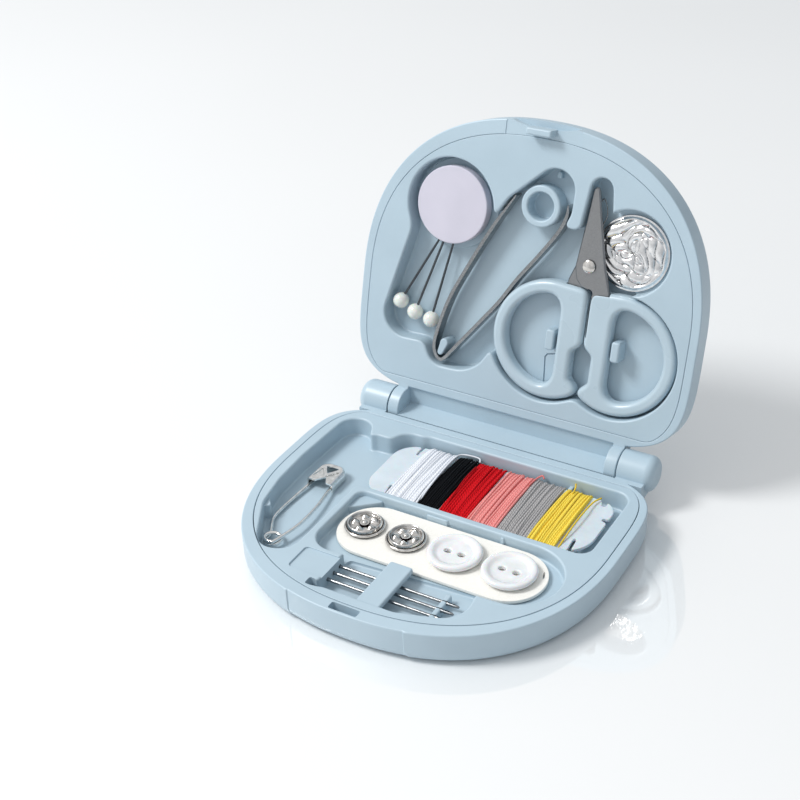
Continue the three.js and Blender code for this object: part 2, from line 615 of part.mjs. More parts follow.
function bladeBody(sign) {
  const low = bladeLow(sign);
  const hole = rod(0.9 + gap, -6, 1, 14).translate([scissors.pivotX, scissors.pivotU, 0]);
  return prism(bladeOutline(sign), low, low + blade.thickness).subtract(hole);
}

function handleBody(sign) {
  const { split, bar, bowU, bowRadius, wall } = scissors;
  const sideOf = (from, to) => (sign > 0 ? [from, to] : [2 * split - to, 2 * split - from]);
  const far = 60;
  const half = block(...sideOf(split + gap / 2, far), -far, far, -far, far);
  const body = prism(round(bowDiscs(sign), 1, 36), handle.low, handle.high).intersect(half);
  const opening = prism(round([[bowX(sign), bowU, bowRadius - wall]], 1, 36), -far, far)
    .intersect(block(...sideOf(split + bar, far), -far, far, -far, far));
  const relief = prism(
    round([[split, 25.4, 0.3], [split + sign * 2.1, 23.6, 0.4], [split + sign * 2.1, 17.2, 0.4], [split, 15.2, 0.3],
      [split - sign, 20, 0.3]]),
    -far, far,
  );
  const low = bladeLow(sign);
  const tangSlot = prism(bladeOutline(sign, gap), low - gap, low + blade.thickness + gap);
  return cut(body, opening, relief, tangSlot);
}

piece(lid, 'scissor_blade_upper', bladeBody(1), steel);
piece(lid, 'scissor_blade_lower', bladeBody(-1), steel);
piece(lid, 'scissor_handle_right', handleBody(1), handleBlue);
piece(lid, 'scissor_handle_left', handleBody(-1), handleBlue);
const rivetTop = blade.top + gap;
const rivetLow = bladeLow(-1) - gap;
piece(lid, 'scissor_rivet', turned([
  [0, rivetLow - 0.4], [1.15 + gap, rivetLow - 0.4], [1.15 + gap, rivetLow], [0.9, rivetLow], [0.9, rivetTop],
  [1.6, rivetTop], [1.2, rivetTop + 0.45], [0, rivetTop + 0.5],
], 16).translate([scissors.pivotX, scissors.pivotU, 0]), steel);

// ---- needle threader: a stamped disc and the fine wire loop that is crimped to its rim ----
const threaderLow = face - tray.threaderDepth + gap;
const threaderDisc = rod(threader.radius, threaderLow, threaderLow + threader.thickness, 36);
piece(lid, 'threader_disc', threaderDisc.translate([threader.x, threader.u, 0]), aluminium);

const wireLoop = { radius: 0.15, halfWidth: 1.3, x: 15.65, root: 53.4, tip: 60.6 };

function threaderWire() {
  const { radius, halfWidth, x, root, tip } = wireLoop;
  const height = threaderLow + threader.thickness / 2;
  const middle = (root + tip) / 2;
  const corners = [[x, root], [x - halfWidth, middle], [x, tip], [x + halfWidth, middle]];
  const sides = corners.map(([fromX, fromU], i) => {
    const [toX, toU] = corners[(i + 1) % corners.length];
    return rodBetween([fromX, fromU, height], [toX, toU, height], radius, 6);
  });
  return join(...sides);
}

piece(lid, 'threader_wire', threaderWire(), steel);

export default kit;
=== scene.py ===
import bpy
import bmesh
import json
import math
import numpy as np
from mathutils import Matrix, Vector
from mathutils.geometry import convex_hull_2d


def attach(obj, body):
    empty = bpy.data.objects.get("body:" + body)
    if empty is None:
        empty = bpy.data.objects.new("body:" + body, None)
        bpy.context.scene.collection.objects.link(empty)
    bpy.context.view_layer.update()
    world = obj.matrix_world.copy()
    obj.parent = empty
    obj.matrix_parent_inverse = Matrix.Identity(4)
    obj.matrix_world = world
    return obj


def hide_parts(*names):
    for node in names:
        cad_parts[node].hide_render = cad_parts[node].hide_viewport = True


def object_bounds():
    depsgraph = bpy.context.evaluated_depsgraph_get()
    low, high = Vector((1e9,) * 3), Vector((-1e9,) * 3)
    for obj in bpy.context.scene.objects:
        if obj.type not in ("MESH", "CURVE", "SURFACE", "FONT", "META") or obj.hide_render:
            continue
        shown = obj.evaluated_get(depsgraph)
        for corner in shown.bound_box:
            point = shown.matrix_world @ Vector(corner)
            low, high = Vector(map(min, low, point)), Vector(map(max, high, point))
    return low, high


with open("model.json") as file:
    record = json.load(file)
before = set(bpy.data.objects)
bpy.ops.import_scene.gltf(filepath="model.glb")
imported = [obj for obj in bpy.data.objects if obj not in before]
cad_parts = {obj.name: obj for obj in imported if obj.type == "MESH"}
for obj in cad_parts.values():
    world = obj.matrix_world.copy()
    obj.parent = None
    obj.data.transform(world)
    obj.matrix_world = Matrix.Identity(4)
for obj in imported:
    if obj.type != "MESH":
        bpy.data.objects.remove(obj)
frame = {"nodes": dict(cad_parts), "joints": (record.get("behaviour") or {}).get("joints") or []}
cadLow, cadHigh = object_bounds()
mm = 0.001
print("frame loaded:", len(frame["nodes"]), "pieces")

# A place on either shell is x along the hinge and u away from it. On the base u runs towards -Y.
hingeJoint = next(j for j in frame["joints"] if j["name"] == "lid_hinge")
hingePlace = Vector(hingeJoint["pos_m"])
openAngle = -hingeJoint["range_deg"][0]
onBase = Matrix.Translation((0, hingePlace.y, 0))
onLid = Matrix.Translation(hingePlace) @ Matrix.Rotation(math.radians(180 - openAngle), 4, "X")
baseSide, lidSide = -1, 1
layAlongX = Matrix(((0, 0, 1, 0), (1, 0, 0, 0), (0, 1, 0, 0),
                    (0, 0, 0, 1)))  # x, y and height become y, z and x


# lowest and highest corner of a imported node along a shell's own axes in mm, and all its points
def placeOf(node, axes):
    back = np.array(axes.inverted())
    points = np.array([v.co for v in frame["nodes"][node].data.vertices])
    local = (points @ back[:3, :3].T + back[:3, 3]) / mm
    return local.min(0), local.max(0), local


# tight outline round discs, each [x, u, radius]
def hullOf(discs, arc=72):
    turn = np.linspace(0, 2 * math.pi, arc, endpoint=False)
    points = [(x + r * math.cos(t), u + r * math.sin(t)) for x, u, r in discs for t in turn]
    return np.array([points[i] for i in convex_hull_2d(points)])


# the same closed outline with points an even distance apart
def evenly(loop, spacing, smooth=0):
    closed = np.vstack([loop, loop[:1]])
    along = np.concatenate([[0], np.cumsum(np.linalg.norm(np.diff(closed, axis=0), axis=1))])
    count = max(12, int(round(along[-1] / spacing)))
    at = np.linspace(0, along[-1], count, endpoint=False)
    made = np.column_stack([np.interp(at, along, closed[:, k]) for k in (0, 1)])
    for _ in range(smooth):
        made = (np.roll(made, 1, 0) + 2 * made + np.roll(made, -1, 0)) / 4
    return made


def areaOf(loop):
    after = np.roll(loop, -1, 0)
    return 0.5 * float(np.sum(loop[:, 0] * after[:, 1] - after[:, 0] * loop[:, 1]))


# an outline in x and u as one in x and y, counter-clockwise
def mirrored(loop, side):
    made = np.column_stack([loop[:, 0], side * loop[:, 1]])
    return made if areaOf(made) > 0 else made[::-1]


# each point moved outwards along the outline's normal
def offset(loop, distance):
    way = np.roll(loop, -1, 0) - np.roll(loop, 1, 0)
    way /= np.maximum(np.linalg.norm(way, axis=1), 1e-9)[:, None]
    return loop + distance * np.column_stack([way[:, 1], -way[:, 0]])


def roundedBox(x0, x1, y0, y1, radius):
    corners = [(x, y) for x in (x0 + radius, x1 - radius) for y in (y0 + radius, y1 - radius)]
    return hullOf([[x, y, radius] for x, y in corners], 32)


# distance fields let pockets run into each other with rounded noses between them
class Field:
    def __init__(self, x0, x1, u0, u1, step=0.3):
        self.corner, self.step = (x0, u0), step
        self.x, self.u = np.meshgrid(np.arange(x0, x1, self.step), np.arange(u0, u1, self.step))

    def hull(self, discs):
        loop = hullOf(discs, 40)
        nearest = np.full(self.x.shape, 1e9)
        inside = np.ones(self.x.shape, bool)
        for (ax, ay), (bx, by) in zip(loop, np.roll(loop, -1, 0)):
            ex, ey = bx - ax, by - ay
            px, py = self.x - ax, self.u - ay
            t = np.clip((px * ex + py * ey) / (ex * ex + ey * ey), 0, 1)
            nearest = np.minimum(nearest, (px - t * ex) ** 2 + (py - t * ey) ** 2)
            inside &= ex * py - ey * px >= 0
        return np.where(inside, -1, 1) * np.sqrt(nearest)

    # the longest line where values cross zero, found cell by cell
    def outline(self, values, spacing=0.45, smooth=2):
        inside = values < 0
        links = {}
        mixed = inside[:-1, :-1] ^ inside[1:, 1:]
        mixed |= inside[:-1, 1:] ^ inside[1:, :-1]
        mixed |= inside[:-1, :-1] ^ inside[:-1, 1:]
        for j, i in np.argwhere(mixed):
            corners = [inside[j, i], inside[j, i + 1], inside[j + 1, i + 1], inside[j + 1, i]]
            edges = [(0, j, i), (1, j, i + 1), (0, j + 1, i), (1, j, i)]
            crossed = [e for e, a, b in zip(edges, corners, corners[1:] + corners[:1]) if a != b]
            for a, b in zip(crossed[::2], crossed[1::2]):
                links.setdefault(a, []).append(b)
                links.setdefault(b, []).append(a)

        def crossing(edge):
            upright, j, i = edge
            a = values[j, i]
            b = values[j + 1, i] if upright else values[j, i + 1]
            t = a / (a - b)
            x = self.corner[0] + self.step * (i + (0 if upright else t))
            u = self.corner[1] + self.step * (j + (t if upright else 0))
            return x, u

        longest = []
        while links:
            start = next(iter(links))
            loop, here = [start], links.pop(start)
            while here:
                onward = [e for e in here if e in links]
                if not onward:
                    break
                loop.append(onward[0])
                here = links.pop(onward[0])
            if len(loop) > len(longest):
                longest = loop
        return evenly(np.array([crossing(e) for e in longest]), spacing, smooth)


# union of two fields with a rounded nose between them
def melt(a, b, radius):
    near = np.clip(radius - np.abs(a - b), 0, None) / radius
    return np.minimum(a, b) - near * near * radius / 4


# intersection of two fields with rounded corners
def meet(a, b, radius):
    return -melt(-a, -b, radius)


def quarter(steps, start=0.0, end=90.0):
    return [math.radians(start + (end - start) * i / steps) for i in range(steps + 1)]


# offset and height of each ring from the foot to the top edge
def slabProfile(low, high, top, bottom, steps=5):
    profile = [(-bottom * (1 - math.sin(a)), low + bottom * (1 - math.cos(a)))
               for a in quarter(steps)] if bottom else [(0, low)]
    profile += [(-top * (1 - math.cos(a)), high - top * (1 - math.sin(a)))
                for a in quarter(steps)] if top else [(0, high)]
    return profile


# the same for a cutter: a rounded foot, a flared lip and a little more above the face
def pocketProfile(floor, top, lip, foot, steps=5):
    profile = [(-foot * (1 - math.sin(a)), floor + foot * (1 - math.cos(a)))
               for a in quarter(steps)] if foot else [(0, floor)]
    profile += [(lip * (1 - math.cos(a)), top - lip * (1 - math.sin(a))) for a in quarter(steps)]
    return profile + [(lip, top + 1)]


# a closed body from rings of equal count: walls between them and a flat cap at each end
def addRings(bm, rings):
    lines = [[bm.verts.new(p) for p in ring] for ring in rings]
    count = len(lines[0])
    for lower, upper in zip(lines, lines[1:]):
        for i in range(count):
            j = (i + 1) % count
            bm.faces.new((lower[i], lower[j], upper[j], upper[i]))
    bm.faces.new(lines[0][::-1])
    bm.faces.new(lines[-1])


# a piece with that outline and profile; shape may bend a ring and gets its points and its height
def solid(name, loop, profile, shape=None):
    bm = bmesh.new()
    rings = []
    for inset, z in profile:
        ring = offset(loop, inset) if inset else loop
        if shape:
            ring = shape(ring, z)
        rings.append([(x, y, z) for x, y in ring])
    addRings(bm, rings)
    return meshed(name, bm)


def meshed(name, bm):
    mesh = bpy.data.meshes.new(name)
    bm.to_mesh(mesh)
    bm.free()
    piece = bpy.data.objects.new(name, mesh)
    bpy.context.scene.collection.objects.link(piece)
    return piece


# a lathe piece standing on z: profile points are (radius, z) from the axis at the foot to the axis at the top
def turned(name, profile, x, y, steps=64, height=0.0):
    bm = bmesh.new()
    poles = (bm.verts.new((x, y, height + profile[0][1])), bm.verts.new((x, y, height + profile[-1][1])))
    turn = [2 * math.pi * i / steps for i in range(steps)]
    rings = [[bm.verts.new((x + r * math.cos(t), y + r * math.sin(t), height + z)) for t in turn]
             for r, z in profile[1:-1]]
    for i in range(steps):
        j = (i + 1) % steps
        bm.faces.new((poles[0], rings[0][j], rings[0][i]))
        bm.faces.new((rings[-1][i], rings[-1][j], poles[1]))
        for lower, upper in zip(rings, rings[1:]):
            bm.faces.new((lower[i], lower[j], upper[j], upper[i]))
    return meshed(name, bm)


# round bar along points; radius is one number or one for each point
def tube(name, path, radius, sides=14):
    points = [Vector(p) for p in path]
    radii = [float(r) for r in radius] if hasattr(radius, "__len__") else [radius] * len(points)
    bm = bmesh.new()
    rings = []
    side = None
    for i, point in enumerate(points):
        way = (points[min(i + 1, len(points) - 1)] - points[max(i - 1, 0)]).normalized()
        if side is None:
            side = way.cross(Vector((0, 0, 1)) if abs(way.z) < 0.9 else Vector((1, 0, 0)))
        side = (side - way * side.dot(way)).normalized()
        across = way.cross(side)
        turn = [2 * math.pi * k / sides for k in range(sides)]
        rings.append([bm.verts.new(point + radii[i] * (side * math.cos(t) + across * math.sin(t)))
                      for t in turn])
    for lower, upper in zip(rings, rings[1:]):
        for k in range(sides):
            m = (k + 1) % sides
            bm.faces.new((lower[k], lower[m], upper[m], upper[k]))
    bm.faces.new(rings[0][::-1])
    bm.faces.new(rings[-1])
    return meshed(name, bm)


# a smooth line through given points (Catmull-Rom)
def throughPoints(points, perSpan=10):
    p = np.array(points, float)
    p = np.vstack([2 * p[0] - p[1], p, 2 * p[-1] - p[-2]])
    made = []
    for a, b, c, d in zip(p, p[1:], p[2:], p[3:]):
        for t in np.linspace(0, 1, perSpan, endpoint=False):
            made.append(0.5 * (2 * b + (c - a) * t + (2 * a - 5 * b + 4 * c - d) * t * t
                               + (3 * b - a - 3 * c + d) * t ** 3))
    return np.vstack([made, p[-2:-1]])


# bakes the modifiers into the mesh
def applied(piece):
    graph = bpy.context.evaluated_depsgraph_get()
    mesh = bpy.data.meshes.new_from_object(piece.evaluated_get(graph))
    piece.modifiers.clear()
    old, piece.data = piece.data, mesh
    bpy.data.meshes.remove(old)
    return piece


def combine(body, *tools, how="DIFFERENCE"):
    for tool in tools:
        step = body.modifiers.new("combine", "BOOLEAN")
        step.operation = how
        step.solver = "MANIFOLD"
        step.object = tool
        applied(body)
        bpy.data.objects.remove(tool)
    return body


# several closed bodies as one object
def joined(name, pieces):
    bm = bmesh.new()
    for piece in pieces:
        bm.from_mesh(piece.data)
        bpy.data.objects.remove(piece)
    return meshed(name, bm)


# takes a piece from mm on its shell to its place, and gives it its finish and its body
def finishPiece(piece, axes, body, material, replaced=(), sharp=38):
    piece.data.transform(axes @ Matrix.Scale(mm, 4))
    piece.data.materials.clear()
    piece.data.materials.append(material)
    piece.data.polygons.foreach_set("material_index", [0] * len(piece.data.polygons))
    piece.data.polygons.foreach_set("use_smooth", [True] * len(piece.data.polygons))
    piece.data.set_sharp_from_angle(angle=math.radians(sharp))
    even = piece.modifiers.new("even normals", "WEIGHTED_NORMAL")
    even.keep_sharp = True
    even.weight = 80
    applied(piece)
    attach(piece, body)
    if replaced:
        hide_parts(*replaced)
    return piece


# sRGB hex to the linear colour that the shader wants
def linear(hexColour):
    made = []
    for k in (1, 3, 5):
        c = int(hexColour[k:k + 2], 16) / 255
        made.append(c / 12.92 if c <= 0.04045 else ((c + 0.055) / 1.055) ** 2.4)
    return (*made, 1.0)


# one node with its settings, its links and values for its inputs, and a ramp's stops as (position, shade)
def addNode(tree, kind, links=(), inputs=(), stops=(), **settings):
    node = tree.nodes.new(kind)
    for name, value in settings.items():
        setattr(node, name, value)
    for name, value in dict(inputs).items():
        node.inputs[name].default_value = value
    for name, socket in dict(links).items():
        tree.links.new(socket, node.inputs[name])
    if stops:
        marks = node.color_ramp.elements
        for _ in stops[2:]:  # a new ramp has two marks
            marks.new(0.5)
        for mark, (position, shade) in zip(marks, stops):
            mark.position = position
            mark.color = linear(shade)
    return node


# a Principled material with even values; a pattern is linked over them afterwards
def newMaterial(name, colour, roughness, metallic=0.0, ior=1.5, **sockets):
    material = bpy.data.materials.new(name)
    material.use_nodes = True
    shader = material.node_tree.nodes["Principled BSDF"]
    shader.inputs["Base Color"].default_value = linear(colour)
    shader.inputs["Roughness"].default_value = roughness
    shader.inputs["Metallic"].default_value = metallic
    shader.inputs["IOR"].default_value = ior
    for socket, value in sockets.items():
        shader.inputs[socket.replace("_", " ")].default_value = value
    return material, material.node_tree, shader


# ABS or PP from a spark-eroded tool: soft broad highlights over a fine even grain, a little flow colour
def mouldedPlastic(name, dark, light, roughness, grainMm=0.22, depth=0.012):
    material, tree, shader = newMaterial(name, light, roughness, ior=1.54)
    place = addNode(tree, "ShaderNodeTexCoord").outputs["Object"]
    grain = addNode(tree, "ShaderNodeTexNoise", {"Vector": place},
                    {"Scale": 1 / (grainMm * mm), "Detail": 2.0})
    flow = addNode(tree, "ShaderNodeTexNoise", {"Vector": place}, {"Scale": 60.0, "Detail": 3.0})
    shade = addNode(tree, "ShaderNodeValToRGB", {"Fac": flow.outputs["Fac"]},
                    stops=((0.3, dark), (0.7, light)))
    tree.links.new(shade.outputs["Color"], shader.inputs["Base Color"])
    gloss = addNode(tree, "ShaderNodeMapRange", {"Value": flow.outputs["Fac"]},
                    {"To Min": roughness - 0.05, "To Max": roughness + 0.06})
    tree.links.new(gloss.outputs["Result"], shader.inputs["Roughness"])
    raised = addNode(tree, "ShaderNodeBump", {"Height": grain.outputs["Fac"]},
                     {"Strength": 0.25, "Distance": depth * mm})
    tree.links.new(raised.outputs["Normal"], shader.inputs["Normal"])
    return material


# rolled or ground steel: fine lines one way, which stretch its highlights across them
def drawnSteel(name, dark, light, roughness, along, lineMm=0.12):
    material, tree, shader = newMaterial(name, light, roughness, 1.0)
    place = addNode(tree, "ShaderNodeTexCoord").outputs["Object"]
    turn = addNode(tree, "ShaderNodeMapping", {"Vector": place},
                   {"Rotation": along, "Scale": (1.0, 0.04, 1.0)})  # long in the grinding direction
    lines = addNode(tree, "ShaderNodeTexNoise", {"Vector": turn.outputs["Vector"]},
                    {"Scale": 1 / (lineMm * mm), "Detail": 3.0})
    shade = addNode(tree, "ShaderNodeValToRGB", {"Fac": lines.outputs["Fac"]},
                    stops=((0.3, dark), (0.7, light)))
    tree.links.new(shade.outputs["Color"], shader.inputs["Base Color"])
    spread = addNode(tree, "ShaderNodeMapRange", {"Value": lines.outputs["Fac"]},
                     {"To Min": roughness - 0.08, "To Max": roughness + 0.1})
    tree.links.new(spread.outputs["Result"], shader.inputs["Roughness"])
    raised = addNode(tree, "ShaderNodeBump", {"Height": lines.outputs["Fac"]},
                     {"Strength": 0.15, "Distance": 0.01 * mm})
    tree.links.new(raised.outputs["Normal"], shader.inputs["Normal"])
    return material


# barrel plating: bright and cloudy where it is thin; its creases and recesses are darkened towards the hollow
# colour by ambient occlusion, which is painted shade
def platedMetal(name, dark, light, roughness, spotMm=0.9, hollow="#3b3733", hollowMm=0.7, shelterLow=0.35,
                shelterHigh=0.85):
    material, tree, shader = newMaterial(name, light, roughness, 1.0)
    place = addNode(tree, "ShaderNodeTexCoord").outputs["Object"]
    cloud = addNode(tree, "ShaderNodeTexNoise", {"Vector": place},
                    {"Scale": 1 / (spotMm * mm), "Detail": 4.0})
    bright = addNode(tree, "ShaderNodeValToRGB", {"Fac": cloud.outputs["Fac"]},
                     stops=((0.3, dark), (0.7, light)))
    # painted shade: ambient occlusion mixes the colour towards hollow where the surface is sheltered
    shelter = addNode(tree, "ShaderNodeAmbientOcclusion", inputs={"Distance": hollowMm * mm}, samples=8)
    shadeShare = addNode(tree, "ShaderNodeMapRange", {"Value": shelter.outputs["AO"]},
                   {"From Min": shelterLow, "From Max": shelterHigh})
    mixed = addNode(tree, "ShaderNodeMix", {"Factor": shadeShare.outputs["Result"], 7: bright.outputs["Color"]},
                    {6: linear(hollow)}, data_type="RGBA")  # 6 and 7 are the two colours
    tree.links.new(mixed.outputs[2], shader.inputs["Base Color"])
    spread = addNode(tree, "ShaderNodeMapRange", {"Value": cloud.outputs["Fac"]},
                     {"To Min": roughness - 0.04, "To Max": roughness + 0.08})
    tree.links.new(spread.outputs["Result"], shader.inputs["Roughness"])
    return material


# spun polyester: matt, with the ply's twist as fine slanted ridges, the colour darker in the grooves between
# plies as painted shade, and a fuzz that catches light
def spunThread(name, dark, light):
    material, tree, shader = newMaterial(name, light, 0.72, Sheen_Weight=0.03, Sheen_Roughness=0.4,
                                         Specular_IOR_Level=0.1)
    along = addNode(tree, "ShaderNodeAttribute", attribute_name="along").outputs["Fac"]
    around = addNode(tree, "ShaderNodeAttribute", attribute_name="around").outputs["Fac"]
    pitch = addNode(tree, "ShaderNodeMath", operation="MULTIPLY", inputs={1: 1100.0},
                    links={0: along})  # a ply each 0.9 mm
    twist = addNode(tree, "ShaderNodeMath", operation="MULTIPLY_ADD", inputs={1: 2.0},
                    links={0: around, 2: pitch.outputs[0]})
    wave = addNode(tree, "ShaderNodeMath", operation="PINGPONG", inputs={1: 0.5}, links={0: twist.outputs[0]})
    place = addNode(tree, "ShaderNodeTexCoord").outputs["Object"]
    fuzz = addNode(tree, "ShaderNodeTexNoise", {"Vector": place}, {"Scale": 5000.0, "Detail": 2.0})
    mixed = addNode(tree, "ShaderNodeMath", operation="MULTIPLY_ADD", inputs={1: 0.5},
                    links={0: fuzz.outputs["Fac"], 2: wave.outputs[0]})
    # painted shade: the colour follows the twist, darker in the grooves between plies, with a random fuzz
    # tone on top
    shade = addNode(tree, "ShaderNodeValToRGB", {"Fac": mixed.outputs[0]}, stops=((0.2, dark), (0.75, light)))
    tree.links.new(shade.outputs["Color"], shader.inputs["Base Color"])
    raised = addNode(tree, "ShaderNodeBump", {"Height": mixed.outputs[0]},
                     {"Strength": 0.6, "Distance": 0.06 * mm})
    tree.links.new(raised.outputs["Normal"], shader.inputs["Normal"])
    return material


# cast polyester or lacquer: milky depth under a glossy skin
def clearResin(name, colour, roughness, cloudMm=1.5, **sockets):
    material, tree, shader = newMaterial(name, colour, roughness, ior=1.52, **sockets)
    place = addNode(tree, "ShaderNodeTexCoord").outputs["Object"]
    cloud = addNode(tree, "ShaderNodeTexNoise", {"Vector": place},
                    {"Scale": 1 / (cloudMm * mm), "Detail": 3.0})
    duller = "#" + "".join(f"{max(0, int(colour[k:k + 2], 16) - 9):02x}" for k in (1, 3, 5))
    shade = addNode(tree, "ShaderNodeValToRGB", {"Fac": cloud.outputs["Fac"]},
                    stops=((0.3, duller), (0.7, colour)))
    tree.links.new(shade.outputs["Color"], shader.inputs["Base Color"])
    return material


# bleached card: matt, faintly fibrous
def coatedBoard(name, dark, light):
    material, tree, shader = newMaterial(name, light, 0.62)
    place = addNode(tree, "ShaderNodeTexCoord").outputs["Object"]
    fibre = addNode(tree, "ShaderNodeTexNoise", {"Vector": place},
                    {"Scale": 2600.0, "Detail": 5.0, "Distortion": 0.8})
    shade = addNode(tree, "ShaderNodeValToRGB", {"Fac": fibre.outputs["Fac"]},
                    stops=((0.3, dark), (0.7, light)))
    tree.links.new(shade.outputs["Color"], shader.inputs["Base Color"])
    raised = addNode(tree, "ShaderNodeBump", {"Height": fibre.outputs["Fac"]},
                     {"Strength": 0.25, "Distance": 0.02 * mm})
    tree.links.new(raised.outputs["Normal"], shader.inputs["Normal"])
    return material


# satin over foam: fine close ribs with a silky sheen
def satinWeave(name, dark, light):
    material, tree, shader = newMaterial(name, light, 0.5, Sheen_Weight=0.5, Sheen_Roughness=0.3)
    place = addNode(tree, "ShaderNodeTexCoord").outputs["Object"]
    ribs = addNode(tree, "ShaderNodeTexWave", {"Vector": place},
                   {"Scale": 1400.0, "Distortion": 0.6, "Detail": 1.0})
    cloud = addNode(tree, "ShaderNodeTexNoise", {"Vector": place}, {"Scale": 90.0, "Detail": 2.0})
    shade = addNode(tree, "ShaderNodeValToRGB", {"Fac": cloud.outputs["Fac"]},
                    stops=((0.3, dark), (0.7, light)))
    tree.links.new(shade.outputs["Color"], shader.inputs["Base Color"])
    raised = addNode(tree, "ShaderNodeBump", {"Height": ribs.outputs["Fac"]},
                     {"Strength": 0.2, "Distance": 0.015 * mm})
    tree.links.new(raised.outputs["Normal"], shader.inputs["Normal"])
    return material


caseBlue = mouldedPlastic("satin_abs_powder_blue", "#aec2ce", "#b4c8d4", 0.36)
trayBlue = mouldedPlastic("satin_abs_tray_blue", "#acc0cc", "#b2c6d2", 0.4)
handleBlue = mouldedPlastic("smooth_pp_handle_blue", "#b1c4cf", "#b7cad5", 0.28, 0.4, 0.006)
hingeSteel = drawnSteel("drawn_steel_pin", "#85878b", "#a9abaf", 0.3, (0, 0, math.radians(90)))
bladeSteel = drawnSteel("ground_stainless_blade", "#878889", "#a5a6a8", 0.36, (0, 0, math.radians(-8)))
tweezerSteel = drawnSteel("sprung_steel_strip", "#797c7f", "#b9bcbe", 0.2, (0, 0, math.radians(30)), 0.2)
pinSteel = drawnSteel("blued_pin_wire", "#4a4e52", "#686c70", 0.3, (0, 0, 0), 0.2)
# each hollow colour below is painted shade in the creases; the studs' and the stamped disc's are the darkest
nickel = platedMetal("nickel_plate", "#c8c4bf", "#f0ede9", 0.14)
studNickel = platedMetal("tumbled_nickel_stud", "#cfcbc6", "#f4f1ed", 0.14, hollow="#1c1917", hollowMm=0.9,
                         shelterLow=0.62, shelterHigh=0.96)
pinNickel = platedMetal("bright_nickel_wire", "#dcdcda", "#f8f8f6", 0.12, hollow="#9c9b98", hollowMm=0.25)
needleNickel = platedMetal("polished_needle_nickel", "#8f9193", "#a9abad", 0.24, hollow="#55575a",
                           hollowMm=0.3)
aluminium = platedMetal("bright_stamped_aluminium", "#e0e0e1", "#f4f4f4", 0.18, hollow="#5c5a59",
                        hollowMm=0.9)
pearl = clearResin("pearl_lacquer", "#e4e8e2", 0.22, 0.8, Coat_Weight=1.0, Coat_Roughness=0.06,
                   Subsurface_Weight=0.2, Subsurface_Scale=0.0015)
buttonResin = clearResin("cast_resin_button", "#f3f4f5", 0.14, 2.0, Coat_Weight=0.6, Coat_Roughness=0.04,
                         Subsurface_Weight=0.2, Subsurface_Scale=0.001, Transmission_Weight=0.08)
cardPlastic = clearResin("frosted_polypropylene_card", "#d3dde4", 0.38, 4.0, Subsurface_Weight=0.3,
                         Subsurface_Scale=0.0015)
board = coatedBoard("bleached_card_board", "#eceae3", "#f5f3ed")
padSatin = satinWeave("lilac_satin", "#c5c3d0", "#cecbd8")
threadFinish = {
    "thread_white": spunThread("spun_thread_white", "#d6dae2", "#f4f6fa"),
    "thread_black": spunThread("spun_thread_black", "#010204", "#090b10"),
    "thread_red": spunThread("spun_thread_red", "#a00510", "#e2141f"),
    "thread_pink": spunThread("spun_thread_pink", "#d97a78", "#f2a49f"),
    "thread_grey": spunThread("spun_thread_grey", "#8e8d8e", "#bbb8b7"),
    "thread_yellow": spunThread("spun_thread_yellow", "#e2c038", "#fbe566"),
}
print("finishes made")


thumbHalf = 14.5
shell = {"halfWidth": 44.0, "front": 75.6, "back": 4.75, "widest": 32.0, "height": 8.0, "floor": 1.5,
         "sideWall": 2.1, "frontWall": 3.5, "backWall": 2.3, "edge": 2.6, "rim": 0.35}
hinge = {"radius": 4.4, "lugInner": 31.15, "lugOuter": 39.8, "lugRound": 2.2, "ear": 3.0,
         "pinRadius": 0.75, "channelDrop": 0.35, "channelWall": 2.2}
latch = {"halfWidth": 3.2, "thickness": 1.5, "reach": 2.5, "fromWall": 0.55, "slotDepth": 3.2}
play = 0.3
faceLid = -play / 2
seam = 0.16  # between a tray and its shell; the lid's is closer
lidSeam = 0.06
slotBack = shell["front"] - shell["frontWall"] + latch["fromWall"]


# full curve at the front, squarer corners towards the hinge, straight along it
def dShape(halfWidth, front, back):
    points = []
    for t in np.linspace(0, 2 * math.pi, 720, endpoint=False):
        atFront = math.sin(t) >= 0
        power = 2 / (2.3 if atFront else 5)
        x = halfWidth * math.copysign(abs(math.cos(t)) ** power, math.cos(t))
        depth = front - shell["widest"] if atFront else shell["widest"] - shell["back"] + 1
        reach = depth * abs(math.sin(t)) ** power
        points.append((x, shell["widest"] + reach if atFront else max(shell["widest"] - reach, back)))
    return evenly(np.array(points), 0.7, 3)


def outerD():
    return dShape(shell["halfWidth"], shell["front"], shell["back"])


def innerD(inset=0.0):
    return dShape(shell["halfWidth"] - shell["sideWall"] - inset, shell["front"] - shell["frontWall"] - inset,
                  shell["back"] + shell["backWall"] + inset)


def boxCut(name, x0, x1, y0, y1, z0, z1, corner=0.3, top=0.0, bottom=0.0):
    return solid(name, evenly(roundedBox(x0, x1, y0, y1, corner), 0.5), slabProfile(z0, z1, top, bottom, 3))


# a lathe piece laid along x, its end at x1 rounded
def barrelAlongX(name, x0, x1, y, z, radius, rounding=0.0):
    ends = [(0, x0), (radius, x0)]
    ends += [(radius - rounding * (1 - math.cos(a)), x1 - rounding * (1 - math.sin(a)))
             for a in quarter(8)] if rounding else [(radius, x1)]
    piece = turned(name, ends + [(0, x1)], 0, 0, 72)
    piece.data.transform(Matrix.Translation((0, y, z)) @ Matrix.Rotation(math.radians(90), 4, "Y"))
    return piece


